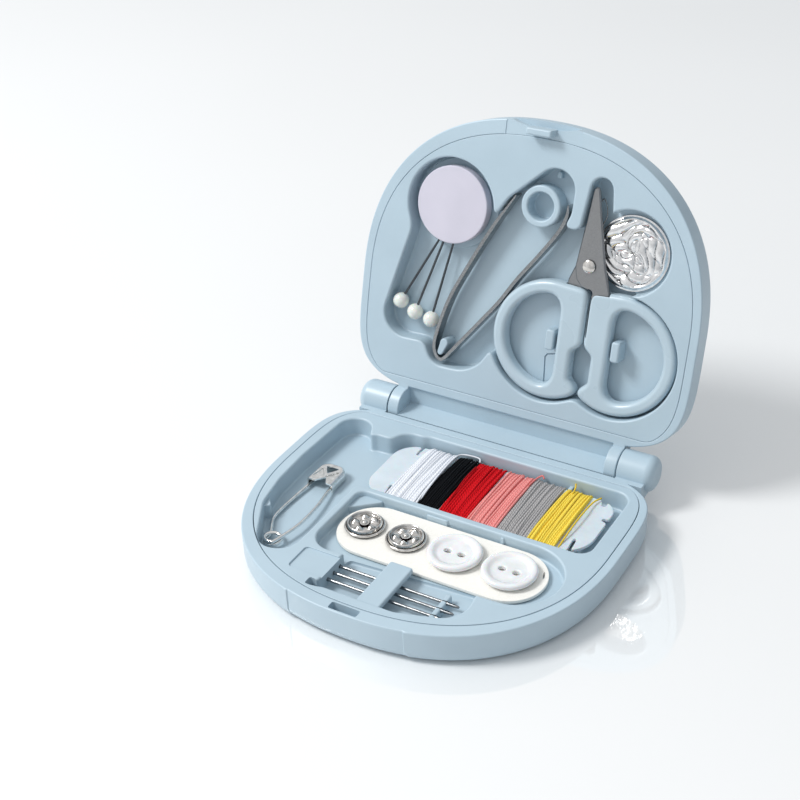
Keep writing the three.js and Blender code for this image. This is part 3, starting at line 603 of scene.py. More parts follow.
def makeBaseShell():
    profile = slabProfile(0, shell["height"], shell["rim"], shell["edge"], 8)
    thumb = {"half": thumbHalf, "depth": 0.25, "edge": 0.25}

    def thumbFlat(ring, _):  # a shallow flat for the thumb at the front, the same at every height
        made = np.array(ring)
        near = np.clip((thumb["half"] - np.abs(made[:, 0])) / thumb["edge"], 0, 1)
        near *= made[:, 1] < -shell["widest"]
        made[:, 1] += thumb["depth"] * near
        return made

    outline = mirrored(withPoints(outerD(), thumb["half"]), baseSide)
    body = solid("base_case", outline, profile, thumbFlat)
    cavity = solid("cut", mirrored(innerD(), baseSide),
                   pocketProfile(shell["floor"], shell["height"], 0.2, 0.3, 3))
    slot = boxCut("cut", -latch["halfWidth"] - play, latch["halfWidth"] + play,
                  -slotBack - latch["thickness"] - 2 * play, -slotBack, shell["height"] - latch["slotDepth"],
                  shell["height"] + 1)
    combine(body, cavity, slot)
    axis = shell["height"] + play / 2
    for sign in (1, -1):
        barrel = barrelAlongX("lug", hinge["lugInner"], hinge["lugOuter"], 0, axis, hinge["radius"],
                              hinge["lugRound"])
        if sign < 0:
            barrel.data.transform(Matrix.Rotation(math.pi, 4, "Z"))
        x0, x1 = sorted((sign * (hinge["lugInner"]), sign * (hinge["lugOuter"] - hinge["lugRound"] + 0.6)))
        web = boxCut("web", x0, x1, -shell["back"] - 1.2, 0.2, axis - hinge["radius"], shell["height"] - 0.02,
                     0.02, 0, 0.02)
        combine(body, barrel, web, how="UNION")
    return finishPiece(body, onBase, "base", caseBlue, ["base_shell"])


# adds points close to each side of x and -x, where the outline gets a step
def withPoints(loop, x):
    extra = []
    for a, b in zip(loop, np.roll(loop, -1, 0)):
        extra.append(a)
        cuts = [s * (x + d) for s in (1, -1) for d in (-0.25, 0.0)]
        hits = sorted(t for t in ((c - a[0]) / (b[0] - a[0]) if b[0] != a[0] else -1 for c in cuts)
                      if 0 < t < 1)
        extra += [a + t * (b - a) for t in hits]
    return np.array(extra)


def makeLidShell():
    low = faceLid - shell["height"]
    body = solid("lid_case", mirrored(outerD(), lidSide),
                 slabProfile(low, faceLid, shell["rim"], shell["edge"], 8))
    cavity = solid("cut", mirrored(innerD(), lidSide),
                   pocketProfile(low + shell["floor"], faceLid, 0.2, 0.3, 3))
    scoop = {"half": 9.6, "depth": 1.7, "height": 2.5}
    across = np.linspace(-scoop["half"], scoop["half"], 40)
    bite = [(x, shell["front"] - scoop["depth"] * (1 - (x / scoop["half"]) ** 2)) for x in across]
    bite += [(scoop["half"], 2 * shell["front"]), (-scoop["half"], 2 * shell["front"])]
    scoopCut = solid("cut", np.array(bite), slabProfile(faceLid - scoop["height"], 9, 0, 0))
    rimStep = boxCut("cut", -scoop["half"], scoop["half"], shell["front"] - shell["frontWall"] - 0.6,
                     2 * shell["front"], faceLid - 0.16, 9, 0.2)
    combine(body, cavity, rimStep, scoopCut)
    tab = boxCut("tab", -latch["halfWidth"], latch["halfWidth"], slotBack + 0.1,
                 slotBack + play + latch["thickness"], faceLid - 1, latch["reach"] + 0.4, 0.35, 0.5, 0)
    combine(body, tab, how="UNION")
    # the knuckle: full ears at the ends, and between them a barrel with a quarter cut away, which is level
    # when the lid stands open
    tilt = math.radians(180 - openAngle)
    c, s = math.cos(tilt), math.sin(tilt)
    radius, neckEnd = hinge["radius"], shell["back"] + 1.2
    level = lambda u, w: (u * c - w * s, u * s + w * c)
    neckLow, neckHigh = level(neckEnd, -radius), level(neckEnd, faceLid)
    touch = math.degrees(math.atan2(level(0, -radius)[1], level(0, -radius)[0]))
    drop = math.degrees(math.asin(-hinge["channelDrop"] / radius))
    wallTop = neckHigh[1] + ((hinge["channelWall"] - neckHigh[0]) * (neckLow[1] - neckHigh[1])
                             / (neckLow[0] - neckHigh[0]))
    arc = [(radius * math.cos(a), radius * math.sin(a)) for a in quarter(36, touch, -180 - drop)]
    middle = arc + [(hinge["channelWall"], -hinge["channelDrop"]), (hinge["channelWall"], wallTop), neckLow]
    arc = [(radius * math.cos(a), radius * math.sin(a)) for a in quarter(48, touch, touch - 270)]
    ear = arc + [neckHigh, neckLow]
    earOuter = hinge["lugInner"] - play
    earMiddle = earOuter - hinge["ear"] / 2
    for name, section, x0, x1 in (("knuckle", middle, -earMiddle, earMiddle),
                                  ("ear_left", ear, -earOuter, -earOuter + hinge["ear"]),
                                  ("ear_right", ear, earOuter - hinge["ear"], earOuter)):
        loop = np.array(section)
        loop = loop if areaOf(loop) > 0 else loop[::-1]
        part = solid(name, loop,
                     [(0, x0), (0, x1)] if name == "knuckle" else slabProfile(x0, x1, 0.3, 0.3, 3))
        # laid along x on the level kit, then tilted back into the lid
        part.data.transform(Matrix.Rotation(-tilt, 4, "X") @ layAlongX)
        combine(body, part, how="UNION")
    return finishPiece(body, onLid, "lid", caseBlue, ["lid_shell"])


def makeHingePins():
    for name in ("hinge_pin_left", "hinge_pin_right"):
        low, high, _ = placeOf(name, onBase)
        middle = (low + high) / 2
        pin = barrelAlongX(name + "_turned", low[0], high[0], middle[1], middle[2], hinge["pinRadius"], 0.2)
        finishPiece(pin, onBase, "base", hingeSteel, [name])


makeBaseShell()
makeLidShell()
makeHingePins()
print("shells made")


tray = {"lip": 0.55, "foot": 0.5, "floor": 3.0, "buttonFloor": 4.8, "needleFloor": 4.0, "plateFloor": 7.6,
        "low": 1.8}
basePockets = {
    "pinBay": [[-34.3, 14.6, 4.3], [-33.2, 30, 6], [-32.5, 40, 6.2], [-31, 48, 6.2], [-26.6, 58.3, 5.2],
               [-23.5, 37.6, 2.2]],
    "passage": [[-27.5, 15.8, 1.2], [-20, 15.8, 1.2], [-20, 33, 1.2], [-22.6, 34.8, 1.2], [-33, 34.8, 1.2]],
    "alcove": [[-19, 14.5, 4.2], [-19, 20, 4.2]],
    "threadBay": [[-18.4, 15.6, 2.4], [-15.2, 11.4, 1.8], [34.1, 13.1, 3.5], [34.3, 31, 3.2],
                  [-19, 32.4, 1.8]],
    "buttonBay": [[-17.3, 38, 2], [-14.2, 53, 5.2], [26.5, 46.4, 10.2]],
    "needleBay": [[-9, 57, 1], [-9, 68.4, 1], [9, 66.6, 2.8], [16.4, 60.8, 6.2], [20, 56, 2]],
    "needleHole": [[-11.2, 69.2, 0.8], [-9.5, 69, 0.8]],
    "plate": [[-17.9, 60.4, 0.9], [-17.9, 66.1, 0.9], [-9.6, 60.4, 0.9], [-9.6, 66.1, 0.9]],
}
trayRibs = {  # x from and to, u from and to, foot and top, then the corner and the upper edge
    "rest_comb": (15.5, 16.8, 57.3, 65.8, tray["needleFloor"] - 0.5, 6.1, 0.4, 0.4),
    "card_tab": (-1.4, 4.2, 34.6, 36.5, 4.3, 7.1, 0.3, 0.3),
    "card_rib": (17.5, 18.4, 34.6, 36.5, 4.3, 7.3, 0.3, 0.25),
    "rear_rib": (22.0, 23.0, 8.4, 11.0, 2.5, 5.6, 0.25, 0.2),
}


def makeBaseTray():
    top = shell["height"]
    tongue = {"x0": 0.2, "x1": 6.0, "tip": 54.9, "root": 70.4, "thickness": 1.2}
    body = solid("base_tray_moulding", mirrored(innerD(seam), baseSide),
                 slabProfile(tray["low"], top, 0.12, 0, 3))
    area = Field(-44, 44, 5, 74)
    deep = area.hull(basePockets["pinBay"])
    for name in ("passage", "threadBay", "alcove"):
        deep = melt(deep, area.hull(basePockets[name]), 1.6)
    needles = melt(area.hull(basePockets["needleBay"]), area.hull(basePockets["needleHole"]), 0.8)
    cuts = [(area.outline(deep), tray["floor"]),
            (area.outline(area.hull(basePockets["buttonBay"])), tray["buttonFloor"]),
            (area.outline(needles), tray["needleFloor"]),
            (evenly(hullOf(basePockets["plate"]), 0.45), tray["plateFloor"])]
    for loop, floor in cuts:
        lip, foot = (0.12, 0.1) if floor == tray["plateFloor"] else (tray["lip"], tray["foot"])
        combine(body, solid("cut", mirrored(loop, baseSide), pocketProfile(floor, top, lip, foot)))
    tongueTop = top - play
    extras = [boxCut("tongue", tongue["x0"], tongue["x1"], -tongue["root"], -tongue["tip"],
                     tongueTop - tongue["thickness"], tongueTop, 0.6, 0.5, 0.2)]
    extras += [boxCut(name, x0, x1, -u1, -u0, *rest) for name, (x0, x1, u0, u1, *rest) in trayRibs.items()]
    ledge = hullOf([[-19.4, 38.4, 0.5], [-13.6, 36.2, 0.4], [-19.4, 41.0, 0.5], [-19, 36.4, 1.2]], 24)
    extras.append(solid("bay_ledge", mirrored(evenly(ledge, 0.4), baseSide),
                        slabProfile(4.3, 6.6, 0.3, 0, 3)))
    stop = hullOf([[-39.2, 45.8, 0.6], [-36.25, 49.2, 0.55], [-38.2, 50.6, 0.5]], 24)
    extras.append(solid("arm_stop", mirrored(evenly(stop, 0.4), baseSide), slabProfile(2.5, 6.8, 0.35, 0, 4)))
    combine(body, *extras, how="UNION")
    combine(body, boxCut("cut", -12.2, -10.4, -70.3, -68.1, 2.6, 9, 0.25))
    for k in range(3):
        low, high, _ = placeOf(f"needle_{k + 1}", onBase)
        middle = (low + high) / 2
        combine(body, barrelAlongX("bore", low[0] - 1.5, high[0] + 1, middle[1], middle[2], 0.52))
    return finishPiece(body, onBase, "base", trayBlue, ["base_tray"])


makeBaseTray()
print("lower tray made")

lidFloor = faceLid - 5
lidPockets = [
    [[-21.8, 52.4, 11.5]],
    [[-26.3, 44.5, 5.2], [-31, 23.3, 6], [-24, 22.6, 5]],
    [[4.7, 61, 4.8], [4.6, 57, 4.8], [-3, 54, 4.8], [-19.8, 16.6, 4.3], [-16.5, 22, 9.6]],
    [[5, 47, 5.6], [14, 47, 5.6], [8, 30, 5]],
    [[16, 63, 2.7], [16, 44.8, 5]],
    [[17.5, 42, 3.5], [23, 42, 2.5]],
]
scissors = {"pivotX": 15.2, "pivotU": 44.8, "split": 16.15, "bowU": 25.2, "bowRadius": 14.5,
            "bowHalfPitch": 8.8, "wall": 3.2, "bar": 6.6}


def bowDiscs(sign, grow=0.0):
    x = scissors["split"] + sign * scissors["bowHalfPitch"]
    return [[x, scissors["bowU"], scissors["bowRadius"] + grow],
            [scissors["split"] + sign * 2.6, scissors["bowU"] + 10.7, 3.4 + grow]]


def makeLidTray():
    low = faceLid - shell["height"] + shell["floor"] + play
    body = solid("lid_tray_moulding", mirrored(innerD(lidSeam), lidSide),
                 slabProfile(low, faceLid, 0.16, 0, 3))
    area = Field(-44, 44, 5, 74)
    deep = area.hull(lidPockets[0])
    for discs in lidPockets[1:] + [bowDiscs(-1, 0.6), bowDiscs(1, 0.6)]:
        deep = melt(deep, area.hull(discs), 1.8)
    threaderBay = hullOf([[24.7, 49.9, 9.9]])
    for loop, floor in ((area.outline(deep), lidFloor), (evenly(threaderBay, 0.45), faceLid - 4)):
        combine(body, solid("cut", mirrored(loop, lidSide),
                            pocketProfile(floor, faceLid, tray["lip"], tray["foot"])))
    pegTop = faceLid - 0.8
    pad = {"x": -21.8, "u": 52.4, "radius": 11.0}
    post = {"x": 1.2, "u": 56.3, "radius": 5.0, "bore": 3.35}
    seat = solid("seat", evenly(hullOf([[pad["x"], pad["u"], pad["radius"]]]), 0.5),
                 slabProfile(lidFloor - 0.5, lidFloor + 0.6, 0.3, 0, 3))
    ring = solid("post", evenly(hullOf([[post["x"], post["u"], post["radius"]]]), 0.4),
                 slabProfile(lidFloor - 0.5, pegTop, 0.55, 0, 5))
    combine(ring, solid("cut", evenly(hullOf([[post["x"], post["u"], post["bore"]]]), 0.4),
                        pocketProfile(lidFloor + 0.05, pegTop, 0.5, 0.4)))
    leafLoop = evenly(hullOf([[-20.6, 15.6, 0.75], [-19.8, 18.2, 1.05]]), 0.3)
    leaf = solid("leaf", leafLoop, slabProfile(lidFloor - 0.5, pegTop, 0.3, 0, 3))
    leftEdge = scissors["split"] - scissors["bar"] - 0.6
    rightEdge = scissors["split"] + scissors["bar"] + 0.6
    left = boxCut("peg", leftEdge - 2.2, leftEdge, 22.9, 27.9, lidFloor - 0.5, pegTop, 0.5, 0.45)
    right = boxCut("peg", rightEdge, rightEdge + 2.2, 23.6, 28.6, lidFloor - 0.5, pegTop, 0.6, 0.6)
    nub = boxCut("nub", 3.2, 4.4, 63.0, 64.6, lidFloor - 0.5, lidFloor + 1.4, 0.4, 0.3)
    combine(body, seat, ring, leaf, left, right, nub, how="UNION")
    corners = [(6.4, 11.2), (5.7, 19.8), (6.2, 20.6), (8.8, 21.3)]  # a fine groove in the left bow's floor
    seamLines = [solid("cut", evenly(hullOf([[*a, 0.17], [*b, 0.17]], 16), 0.15),
                       [(0, lidFloor - 0.5), (0, lidFloor + 0.6)])
                 for a, b in zip(corners, corners[1:])]
    combine(body, *seamLines)
    return finishPiece(body, onLid, "lid", trayBlue, ["lid_tray"])


makeLidTray()
print("upper tray made")


def makeHandles():
    for sign, side in ((1, "right"), (-1, "left")):
        low, high, _ = placeOf(f"scissor_handle_{side}", onLid)
        split, wall, radius = scissors["split"], scissors["wall"], scissors["bowRadius"]
        bowX = split + sign * scissors["bowHalfPitch"]
        area = Field(-12, 45, 8, 42)
        beyond = sign * (split - area.x)  # negative on this handle's own side
        outside = meet(area.hull(bowDiscs(sign)), beyond + play / 2, 1.2)
        relief = area.hull([[split, 25.4, 0.3], [split + sign * 2.1, 23.6, 0.4],
                            [split + sign * 2.1, 17.2, 0.4], [split, 15.2, 0.3], [split - sign, 20, 0.3]])
        outside = meet(outside, -relief, 1.0)
        opening = meet(area.hull([[bowX, scissors["bowU"], radius - wall]]), beyond + scissors["bar"], 4.0)
        body = solid("handle", mirrored(area.outline(outside, 0.4), lidSide),
                     slabProfile(low[2], high[2], 1.25, 1.25, 7))
        rounding = 1.25
        through = [(rounding * (1 - math.sin(a)), low[2] + rounding * (1 - math.cos(a))) for a in quarter(7)]
        through = [(rounding, low[2] - 1)] + through
        through += [(rounding * (1 - math.cos(a)), high[2] - rounding * (1 - math.sin(a)))
                    for a in quarter(7)]
        through += [(rounding, high[2] + 1)]
        combine(body, solid("cut", mirrored(area.outline(opening, 0.4), lidSide), through))
        bladeBox = placeOf("scissor_blade_upper" if sign > 0 else "scissor_blade_lower", onLid)
        slot = bladeOutline(sign, play)
        combine(body, solid("cut", slot, [(0, bladeBox[0][2] - play), (0, bladeBox[1][2] + play)]))
        body.name = f"scissor_bow_{side}"
        finishPiece(body, onLid, "scissor_upper" if sign > 0 else "scissor_lower", handleBlue,
                    [f"scissor_handle_{side}"], 50)


bladeShapes = {  # x from the pivot, u: tip, back, tang, stop notch, heel and edge
    1: [(-1.5, 62.8), (-0.8, 63.3), (-0.1, 62.9), (1.8, 54.2), (4.0, 44.8), (5.8, 39.4), (6.0, 28), (1.7, 28),
        (1.5, 37.6), (0.7, 39.1), (-1.4, 39.7), (-2.9, 41.4), (-3.5, 44.1), (-2.9, 49.3), (-2.2, 55.3)],
    -1: [(-1.2, 62.6), (-0.9, 62.9), (-1.4, 58), (-2.9, 46.8), (-5.2, 40.5), (-5.7, 28), (-1.7, 28),
         (-1.5, 39), (1.4, 40.6), (2.6, 42.6), (3.0, 45.2), (1.9, 50), (0.5, 56)],
}


def bladeOutline(sign, grow=0.0):
    loop = np.array([(scissors["pivotX"] + x, u) for x, u in bladeShapes[sign]])
    loop = loop if areaOf(loop) > 0 else loop[::-1]
    return offset(evenly(loop, 0.5, 2), grow) if grow else evenly(loop, 0.4, 1)


def makeBlades():
    for sign, name in ((1, "scissor_blade_upper"), (-1, "scissor_blade_lower")):
        low, high, _ = placeOf(name, onLid)
        body = solid("blade", bladeOutline(sign), slabProfile(low[2], high[2], 0.28, 0.1, 1))
        hole = solid("cut", evenly(hullOf([[scissors["pivotX"], scissors["pivotU"], 1.2]]), 0.3),
                     [(0, low[2] - 1), (0, high[2] + 1)])
        combine(body, hole)
        if sign > 0:  # the stop notch in front of the handles
            combine(body, solid("cut", evenly(hullOf([[scissors["pivotX"] + 0.7, 38.5, 0.95]]), 0.25),
                                pocketProfile(low[2] - 1, high[2], 0.25, 0, 3)))
        body.name = name.replace("scissor_blade", "ground_blade")
        finishPiece(body, onLid, "scissor_upper" if sign > 0 else "scissor_lower", bladeSteel,
                    [name], 25)


def makeRivet():
    low, high, _ = placeOf("scissor_rivet", onLid)
    x, u = scissors["pivotX"], scissors["pivotU"]
    seat = high[2] - 0.5
    dome = [(1.6 * math.cos(a), seat + 0.48 * math.sin(a)) for a in quarter(8)][:-1]
    profile = [(0, low[2]), (1.4, low[2]), (1.4, low[2] + 0.35), (0.9, low[2] + 0.4), (0.9, seat - 0.02),
               (1.55, seat - 0.02)]
    rivet = turned("domed_rivet", profile + dome + [(0, seat + 0.48)], x, u, 48)
    finishPiece(rivet, onLid, "scissor_lower", nickel, ["scissor_rivet"])


makeHandles()
makeBlades()
makeRivet()
print("scissors made")


def makeTweezers():
    low, high, _ = placeOf("tweezers", onLid)
    line = throughPoints([
        [-5.4, 57.8], [-10.4, 49.3], [-15.8, 38.5], [-19.8, 29.5], [-22, 21.5], [-22.6, 17.2], [-21.9, 14.7],
        [-20.5, 13.7], [-19.2, 14.5], [-17.4, 16.9], [-11.6, 24.6], [-6.6, 31.4], [-2.6, 37.9], [2.6, 45.3],
        [6.4, 51.2], [7.9, 55], [8, 57.8],
    ], 12)
    way = np.gradient(line, axis=0)
    way /= np.linalg.norm(way, axis=1)[:, None]
    across = np.column_stack([-way[:, 1], way[:, 0]])
    share = np.linspace(0, 1, len(line))
    half = 0.45 * np.clip(np.minimum(share, 1 - share) * 9 + 0.45, 0, 1)  # thins towards the two tips
    loop = np.vstack([line + half[:, None] * across, (line - half[:, None] * across)[::-1]])
    loop = loop if areaOf(loop) > 0 else loop[::-1]
    strip = solid("tweezer_strip", loop, slabProfile(low[2], high[2], 0.12, 0.12, 3))
    finishPiece(strip, onLid, "tweezers", tweezerSteel, ["tweezers"], 30)


makeTweezers()


def makePinPad():
    low, high, _ = placeOf("pin_pad", onLid)
    x, u = (low[0] + high[0]) / 2, (low[1] + high[1]) / 2
    radius, thick = (high[0] - low[0]) / 2, high[2] - low[2]
    profile = [(0, 0), (radius - 0.7, 0)]
    profile += [(radius - 0.7 + 0.7 * math.sin(a), 0.7 - 0.7 * math.cos(a)) for a in quarter(5)][1:]
    profile += [(radius - 0.3 + 0.3 * math.cos(a), thick - 0.45 + 0.3 * math.sin(a)) for a in quarter(6)]
    crown = [((radius - 0.3) * k, thick - 0.15 + 0.15 * (1 - k * k)) for k in np.linspace(0.97, 0.03, 16)]
    pad = turned("satin_pin_pad", profile + crown + [(0, thick)], x, u, 96, low[2])
    finishPiece(pad, onLid, "pin_pad", padSatin, ["pin_pad"])


def makePins():
    for k in (1, 2, 3):
        _, _, points = placeOf(f"pin_shaft_{k}", onLid)
        middle = points.mean(0)
        way = np.linalg.svd(points - middle)[2][0]
        reach = (points - middle) @ way
        ends = sorted([middle + reach.min() * way, middle + reach.max() * way], key=lambda p: p[1])
        low, high, _ = placeOf(f"pin_head_{k}", onLid)
        centre, radius = (low + high) / 2, (high[2] - low[2]) / 2
        path = [ends[0] + (ends[1] - ends[0]) * t for t in (0, 0.3, 0.6, 0.85, 1)]
        shaft = tube(f"pin_wire_{k}", path, [0.3, 0.3, 0.3, 0.2, 0.04], 12)
        finishPiece(shaft, onLid, "pin_pad", pinSteel, [f"pin_shaft_{k}"])
        ball = [(radius * math.cos(a), radius * math.sin(a)) for a in quarter(28, -90, 90)]
        bead = turned(f"pearl_{k}", [(0, -radius)] + ball[1:-1] + [(0, radius)], centre[0], centre[1], 40,
                      centre[2])
        finishPiece(bead, onLid, "pin_pad", pearl, [f"pin_head_{k}"])


makePinPad()
makePins()
print("pins and tweezers made")


# a disc whose upper face follows height(radius, turn); flat below
def polarDisc(name, x, y, low, radius, height, rings=60, steps=180):
    bm = bmesh.new()
    pole = bm.verts.new((x, y, height(0.0, 0.0)))
    foot = bm.verts.new((x, y, low))
    lines = []
    for i in range(1, rings + 1):
        r = radius * i / rings
        turn = [2 * math.pi * k / steps for k in range(steps)]
        lines.append([bm.verts.new((x + r * math.cos(t), y + r * math.sin(t), height(r, t))) for t in turn])
    lines.append([bm.verts.new((v.co.x, v.co.y, low)) for v in lines[-1]])
    for k in range(steps):
        m = (k + 1) % steps
        bm.faces.new((pole, lines[0][k], lines[0][m]))
        bm.faces.new((foot, lines[-1][m], lines[-1][k]))
        for inner, outer in zip(lines, lines[1:]):
            bm.faces.new((inner[k], outer[k], outer[m], inner[m]))
    return meshed(name, bm)


def makeThreader():
    low, high, _ = placeOf("threader_disc", onLid)
    x, u, radius = (low[0] + high[0]) / 2, (low[1] + high[1]) / 2, (high[0] - low[0]) / 2
    stamp = {"petals": 5, "relief": 0.7, "rim": 0.8}

    # a freely folded rosette: five broad petals with sharp creases, inside a rolled rim
    def embossed(r, t):
        share = r / radius
        flat = high[2] - 0.2
        rim = 0.3 * math.exp(-((radius - r - stamp["rim"]) / 0.35) ** 2)
        if share > 0.93:
            return flat + rim
        swirl = t + 0.9 * share + 0.35 * math.sin(6 * share + 2 * t)
        petal = abs(math.sin(stamp["petals"] * swirl / 2)) ** 0.45
        crease = abs(math.sin(4.2 * share * math.pi + 1.6 * math.sin(3 * t + 2 * share))) ** 0.5
        fold = abs(math.sin(5.5 * (math.cos(t) * share) + 2.2 * math.sin(3.1 * share * math.sin(t)))) ** 0.6
        inside = min(1, (0.93 - share) / 0.08)
        return flat + rim + inside * (stamp["relief"] * petal * crease * share ** 0.5 + 0.35 * fold - 0.25)

    disc = polarDisc("stamped_disc", x, u, low[2], radius, embossed, 90, 280)
    finishPiece(disc, onLid, "threader", aluminium, ["threader_disc"], 60)
    low, high, _ = placeOf("threader_wire", onLid)
    middle = (low + high) / 2
    corners = [(middle[0], low[1]), (low[0] + 0.15, middle[1]), (middle[0], high[1] - 0.15),
               (high[0] - 0.15, middle[1])]
    loop = throughPoints([(a, b, middle[2]) for a, b in corners + corners[:1]], 10)
    wire = tube("threader_loop", loop, 0.15, 10)
    finishPiece(wire, onLid, "threader", tweezerSteel, ["threader_wire"])


makeThreader()
print("threader made")


def makeThreadCard():
    low, high, _ = placeOf("thread_card", onBase)
    x0, x1, u0, u1 = low[0], high[0], -high[1], -low[1]
    area = Field(x0 - 1, x1 + 1, u0 - 1, u1 + 1, 0.15)
    corners = [[x0 + 6, u0 + 6, 6], [x0 + 6, u1 - 6, 6], [x1 - 4.5, u0 + 4.5, 4.5], [x1 - 7.5, u1 - 7.5, 7.5]]
    body = area.hull(corners)
    slits = [[[-16.5, u0 - 1, 0.35], [-16.4, 14.4, 0.35]], [[-14.6, u1 + 1, 0.35], [-15.6, 28.4, 0.35]],
             [[31.9, u1 + 1, 0.4], [31.4, 27.4, 0.4]], [[27.6, u0 - 1, 0.35], [27.7, 13.6, 0.35]]]
    # two bites leave a rounded lobe that holds the loose ends
    slits += [[[31.4, u0 - 0.6, 0.6], [32.0, u0 + 1.5, 0.6]], [[x1 + 0.8, 18.2, 0.6], [x1 - 0.9, 17.9, 0.6]]]
    for slit in slits:
        body = meet(body, -area.hull(slit), 0.5)
    card = solid("thread_winder_card", mirrored(area.outline(body, 0.25, 1), baseSide),
                 slabProfile(low[2], high[2], 0.15, 0.1, 2))
    finishPiece(card, onBase, "thread_card", cardPlastic, ["thread_card"])


def geometryTree(name, inputs):
    tree = bpy.data.node_groups.new(name, "GeometryNodeTree")
    tree.interface.new_socket("Geometry", in_out="OUTPUT", socket_type="NodeSocketGeometry")
    tree.interface.new_socket("Geometry", in_out="INPUT", socket_type="NodeSocketGeometry")
    for label, kind in inputs:
        tree.interface.new_socket(label, in_out="INPUT", socket_type=kind)
    return tree, tree.nodes.new("NodeGroupInput").outputs, tree.nodes.new("NodeGroupOutput").inputs


# a loop of thread repeated along x, each turn a little out of line, as spun thread round a card
def windingTree():
    tree, given, result = geometryTree("thread winding", [
        ("Turns", "NodeSocketInt"), ("Pitch", "NodeSocketFloat"), ("Start", "NodeSocketVector"),
        ("Strand radius", "NodeSocketFloat"), ("Slant", "NodeSocketFloat"), ("Unevenness", "NodeSocketFloat"),
        ("Seed", "NodeSocketInt"), ("Finish", "NodeSocketMaterial")])
    step = addNode(tree, "ShaderNodeCombineXYZ", {"X": given["Pitch"]})
    row = addNode(tree, "GeometryNodeMeshLine",
                  {"Count": given["Turns"], "Start Location": given["Start"], "Offset": step.outputs[0]})
    loop = addNode(tree, "GeometryNodeMeshToCurve", {"Mesh": given["Geometry"]})
    less = addNode(tree, "ShaderNodeMath", {0: given["Unevenness"]}, {1: -1.0}, operation="MULTIPLY")
    low = addNode(tree, "ShaderNodeCombineXYZ",
                  {"X": less.outputs[0], "Y": less.outputs[0], "Z": less.outputs[0]})
    high = addNode(tree, "ShaderNodeCombineXYZ",
                   {"X": given["Unevenness"], "Y": given["Unevenness"], "Z": given["Unevenness"]})
    jitter = addNode(tree, "FunctionNodeRandomValue",
                     {"Min": low.outputs[0], "Max": high.outputs[0], "Seed": given["Seed"]},
                     data_type="FLOAT_VECTOR")
    moved = addNode(tree, "GeometryNodeSetPosition",
                    {"Geometry": row.outputs[0], "Offset": jitter.outputs[0]})
    lean = addNode(tree, "FunctionNodeRandomValue", {"Seed": given["Seed"]},
                   {"Min": (0.0, -0.03, -0.03), "Max": (0.0, 0.03, 0.03)}, data_type="FLOAT_VECTOR")
    slant = addNode(tree, "ShaderNodeCombineXYZ", {"Z": given["Slant"]})
    turnBy = addNode(tree, "ShaderNodeVectorMath", {0: lean.outputs[0], 1: slant.outputs[0]}, operation="ADD")
    turns = addNode(tree, "GeometryNodeInstanceOnPoints",
                    {"Points": moved.outputs[0], "Instance": loop.outputs[0]})
    toTurn = addNode(tree, "FunctionNodeEulerToRotation", {0: turnBy.outputs[0]})
    tree.links.new(toTurn.outputs[0], turns.inputs["Rotation"])
    curves = addNode(tree, "GeometryNodeRealizeInstances", {0: turns.outputs[0]})
    wobble = addNode(tree, "ShaderNodeTexNoise", inputs={"Scale": 260.0, "Detail": 1.0})
    centred = addNode(tree, "ShaderNodeVectorMath", {0: wobble.outputs["Color"]}, {1: (0.5, 0.5, 0.5)},
                      operation="SUBTRACT")
    pushed = addNode(tree, "ShaderNodeVectorMath", {0: centred.outputs[0], "Scale": given["Unevenness"]},
                     operation="SCALE")
    wavy = addNode(tree, "GeometryNodeSetPosition",
                   {"Geometry": curves.outputs[0], "Offset": pushed.outputs[0]})
    length = addNode(tree, "GeometryNodeSplineParameter")
    kept = addNode(tree, "GeometryNodeStoreNamedAttribute",
                   {"Geometry": wavy.outputs[0], "Value": length.outputs["Length"]}, {"Name": "along"},
                   domain="POINT")
    circle = addNode(tree, "GeometryNodeCurvePrimitiveCircle", {"Radius": given["Strand radius"]},
                     {"Resolution": 7})
    share = addNode(tree, "GeometryNodeSplineParameter")
    section = addNode(tree, "GeometryNodeStoreNamedAttribute",
                      {"Geometry": circle.outputs[0], "Value": share.outputs["Factor"]}, {"Name": "around"},
                      domain="POINT")
    strands = addNode(tree, "GeometryNodeCurveToMesh",
                      {"Curve": kept.outputs[0], "Profile Curve": section.outputs[0]})
    smooth = addNode(tree, "GeometryNodeSetShadeSmooth", {0: strands.outputs[0]})
    real = addNode(tree, "GeometryNodeRealizeInstances", {0: smooth.outputs[0]})
    painted = addNode(tree, "GeometryNodeSetMaterial",
                      {"Geometry": real.outputs[0], "Material": given["Finish"]})
    tree.links.new(painted.outputs[0], result[0])
    return tree


def loopMesh(name, points):
    mesh = bpy.data.meshes.new(name)
    count = len(points)
    mesh.from_pydata([Vector(p) * mm for p in points], [(i, (i + 1) % count) for i in range(count)], [])
    piece = bpy.data.objects.new(name, mesh)
    bpy.context.scene.collection.objects.link(piece)
    return piece


# cross-section of a bundle wound on a card: thick in the middle, thin over the card's edges
def crowned(halfLength, halfHeight, count=48):
    soft = lambda value, power: math.copysign(abs(value) ** power, value)
    turn = [2 * math.pi * k / count for k in range(count)]
    return [(0, halfLength * soft(math.cos(t), 0.85), halfHeight * soft(math.sin(t), 0.8)) for t in turn]


windings = {"strandRadius": 0.29, "pitch": 0.56, "uneven": 0.19, "beyond": 0.12,
            "slant": {"thread_white": 0.012, "thread_black": -0.008, "thread_red": 0.014,
                      "thread_pink": -0.012, "thread_grey": 0.014, "thread_yellow": -0.01}}
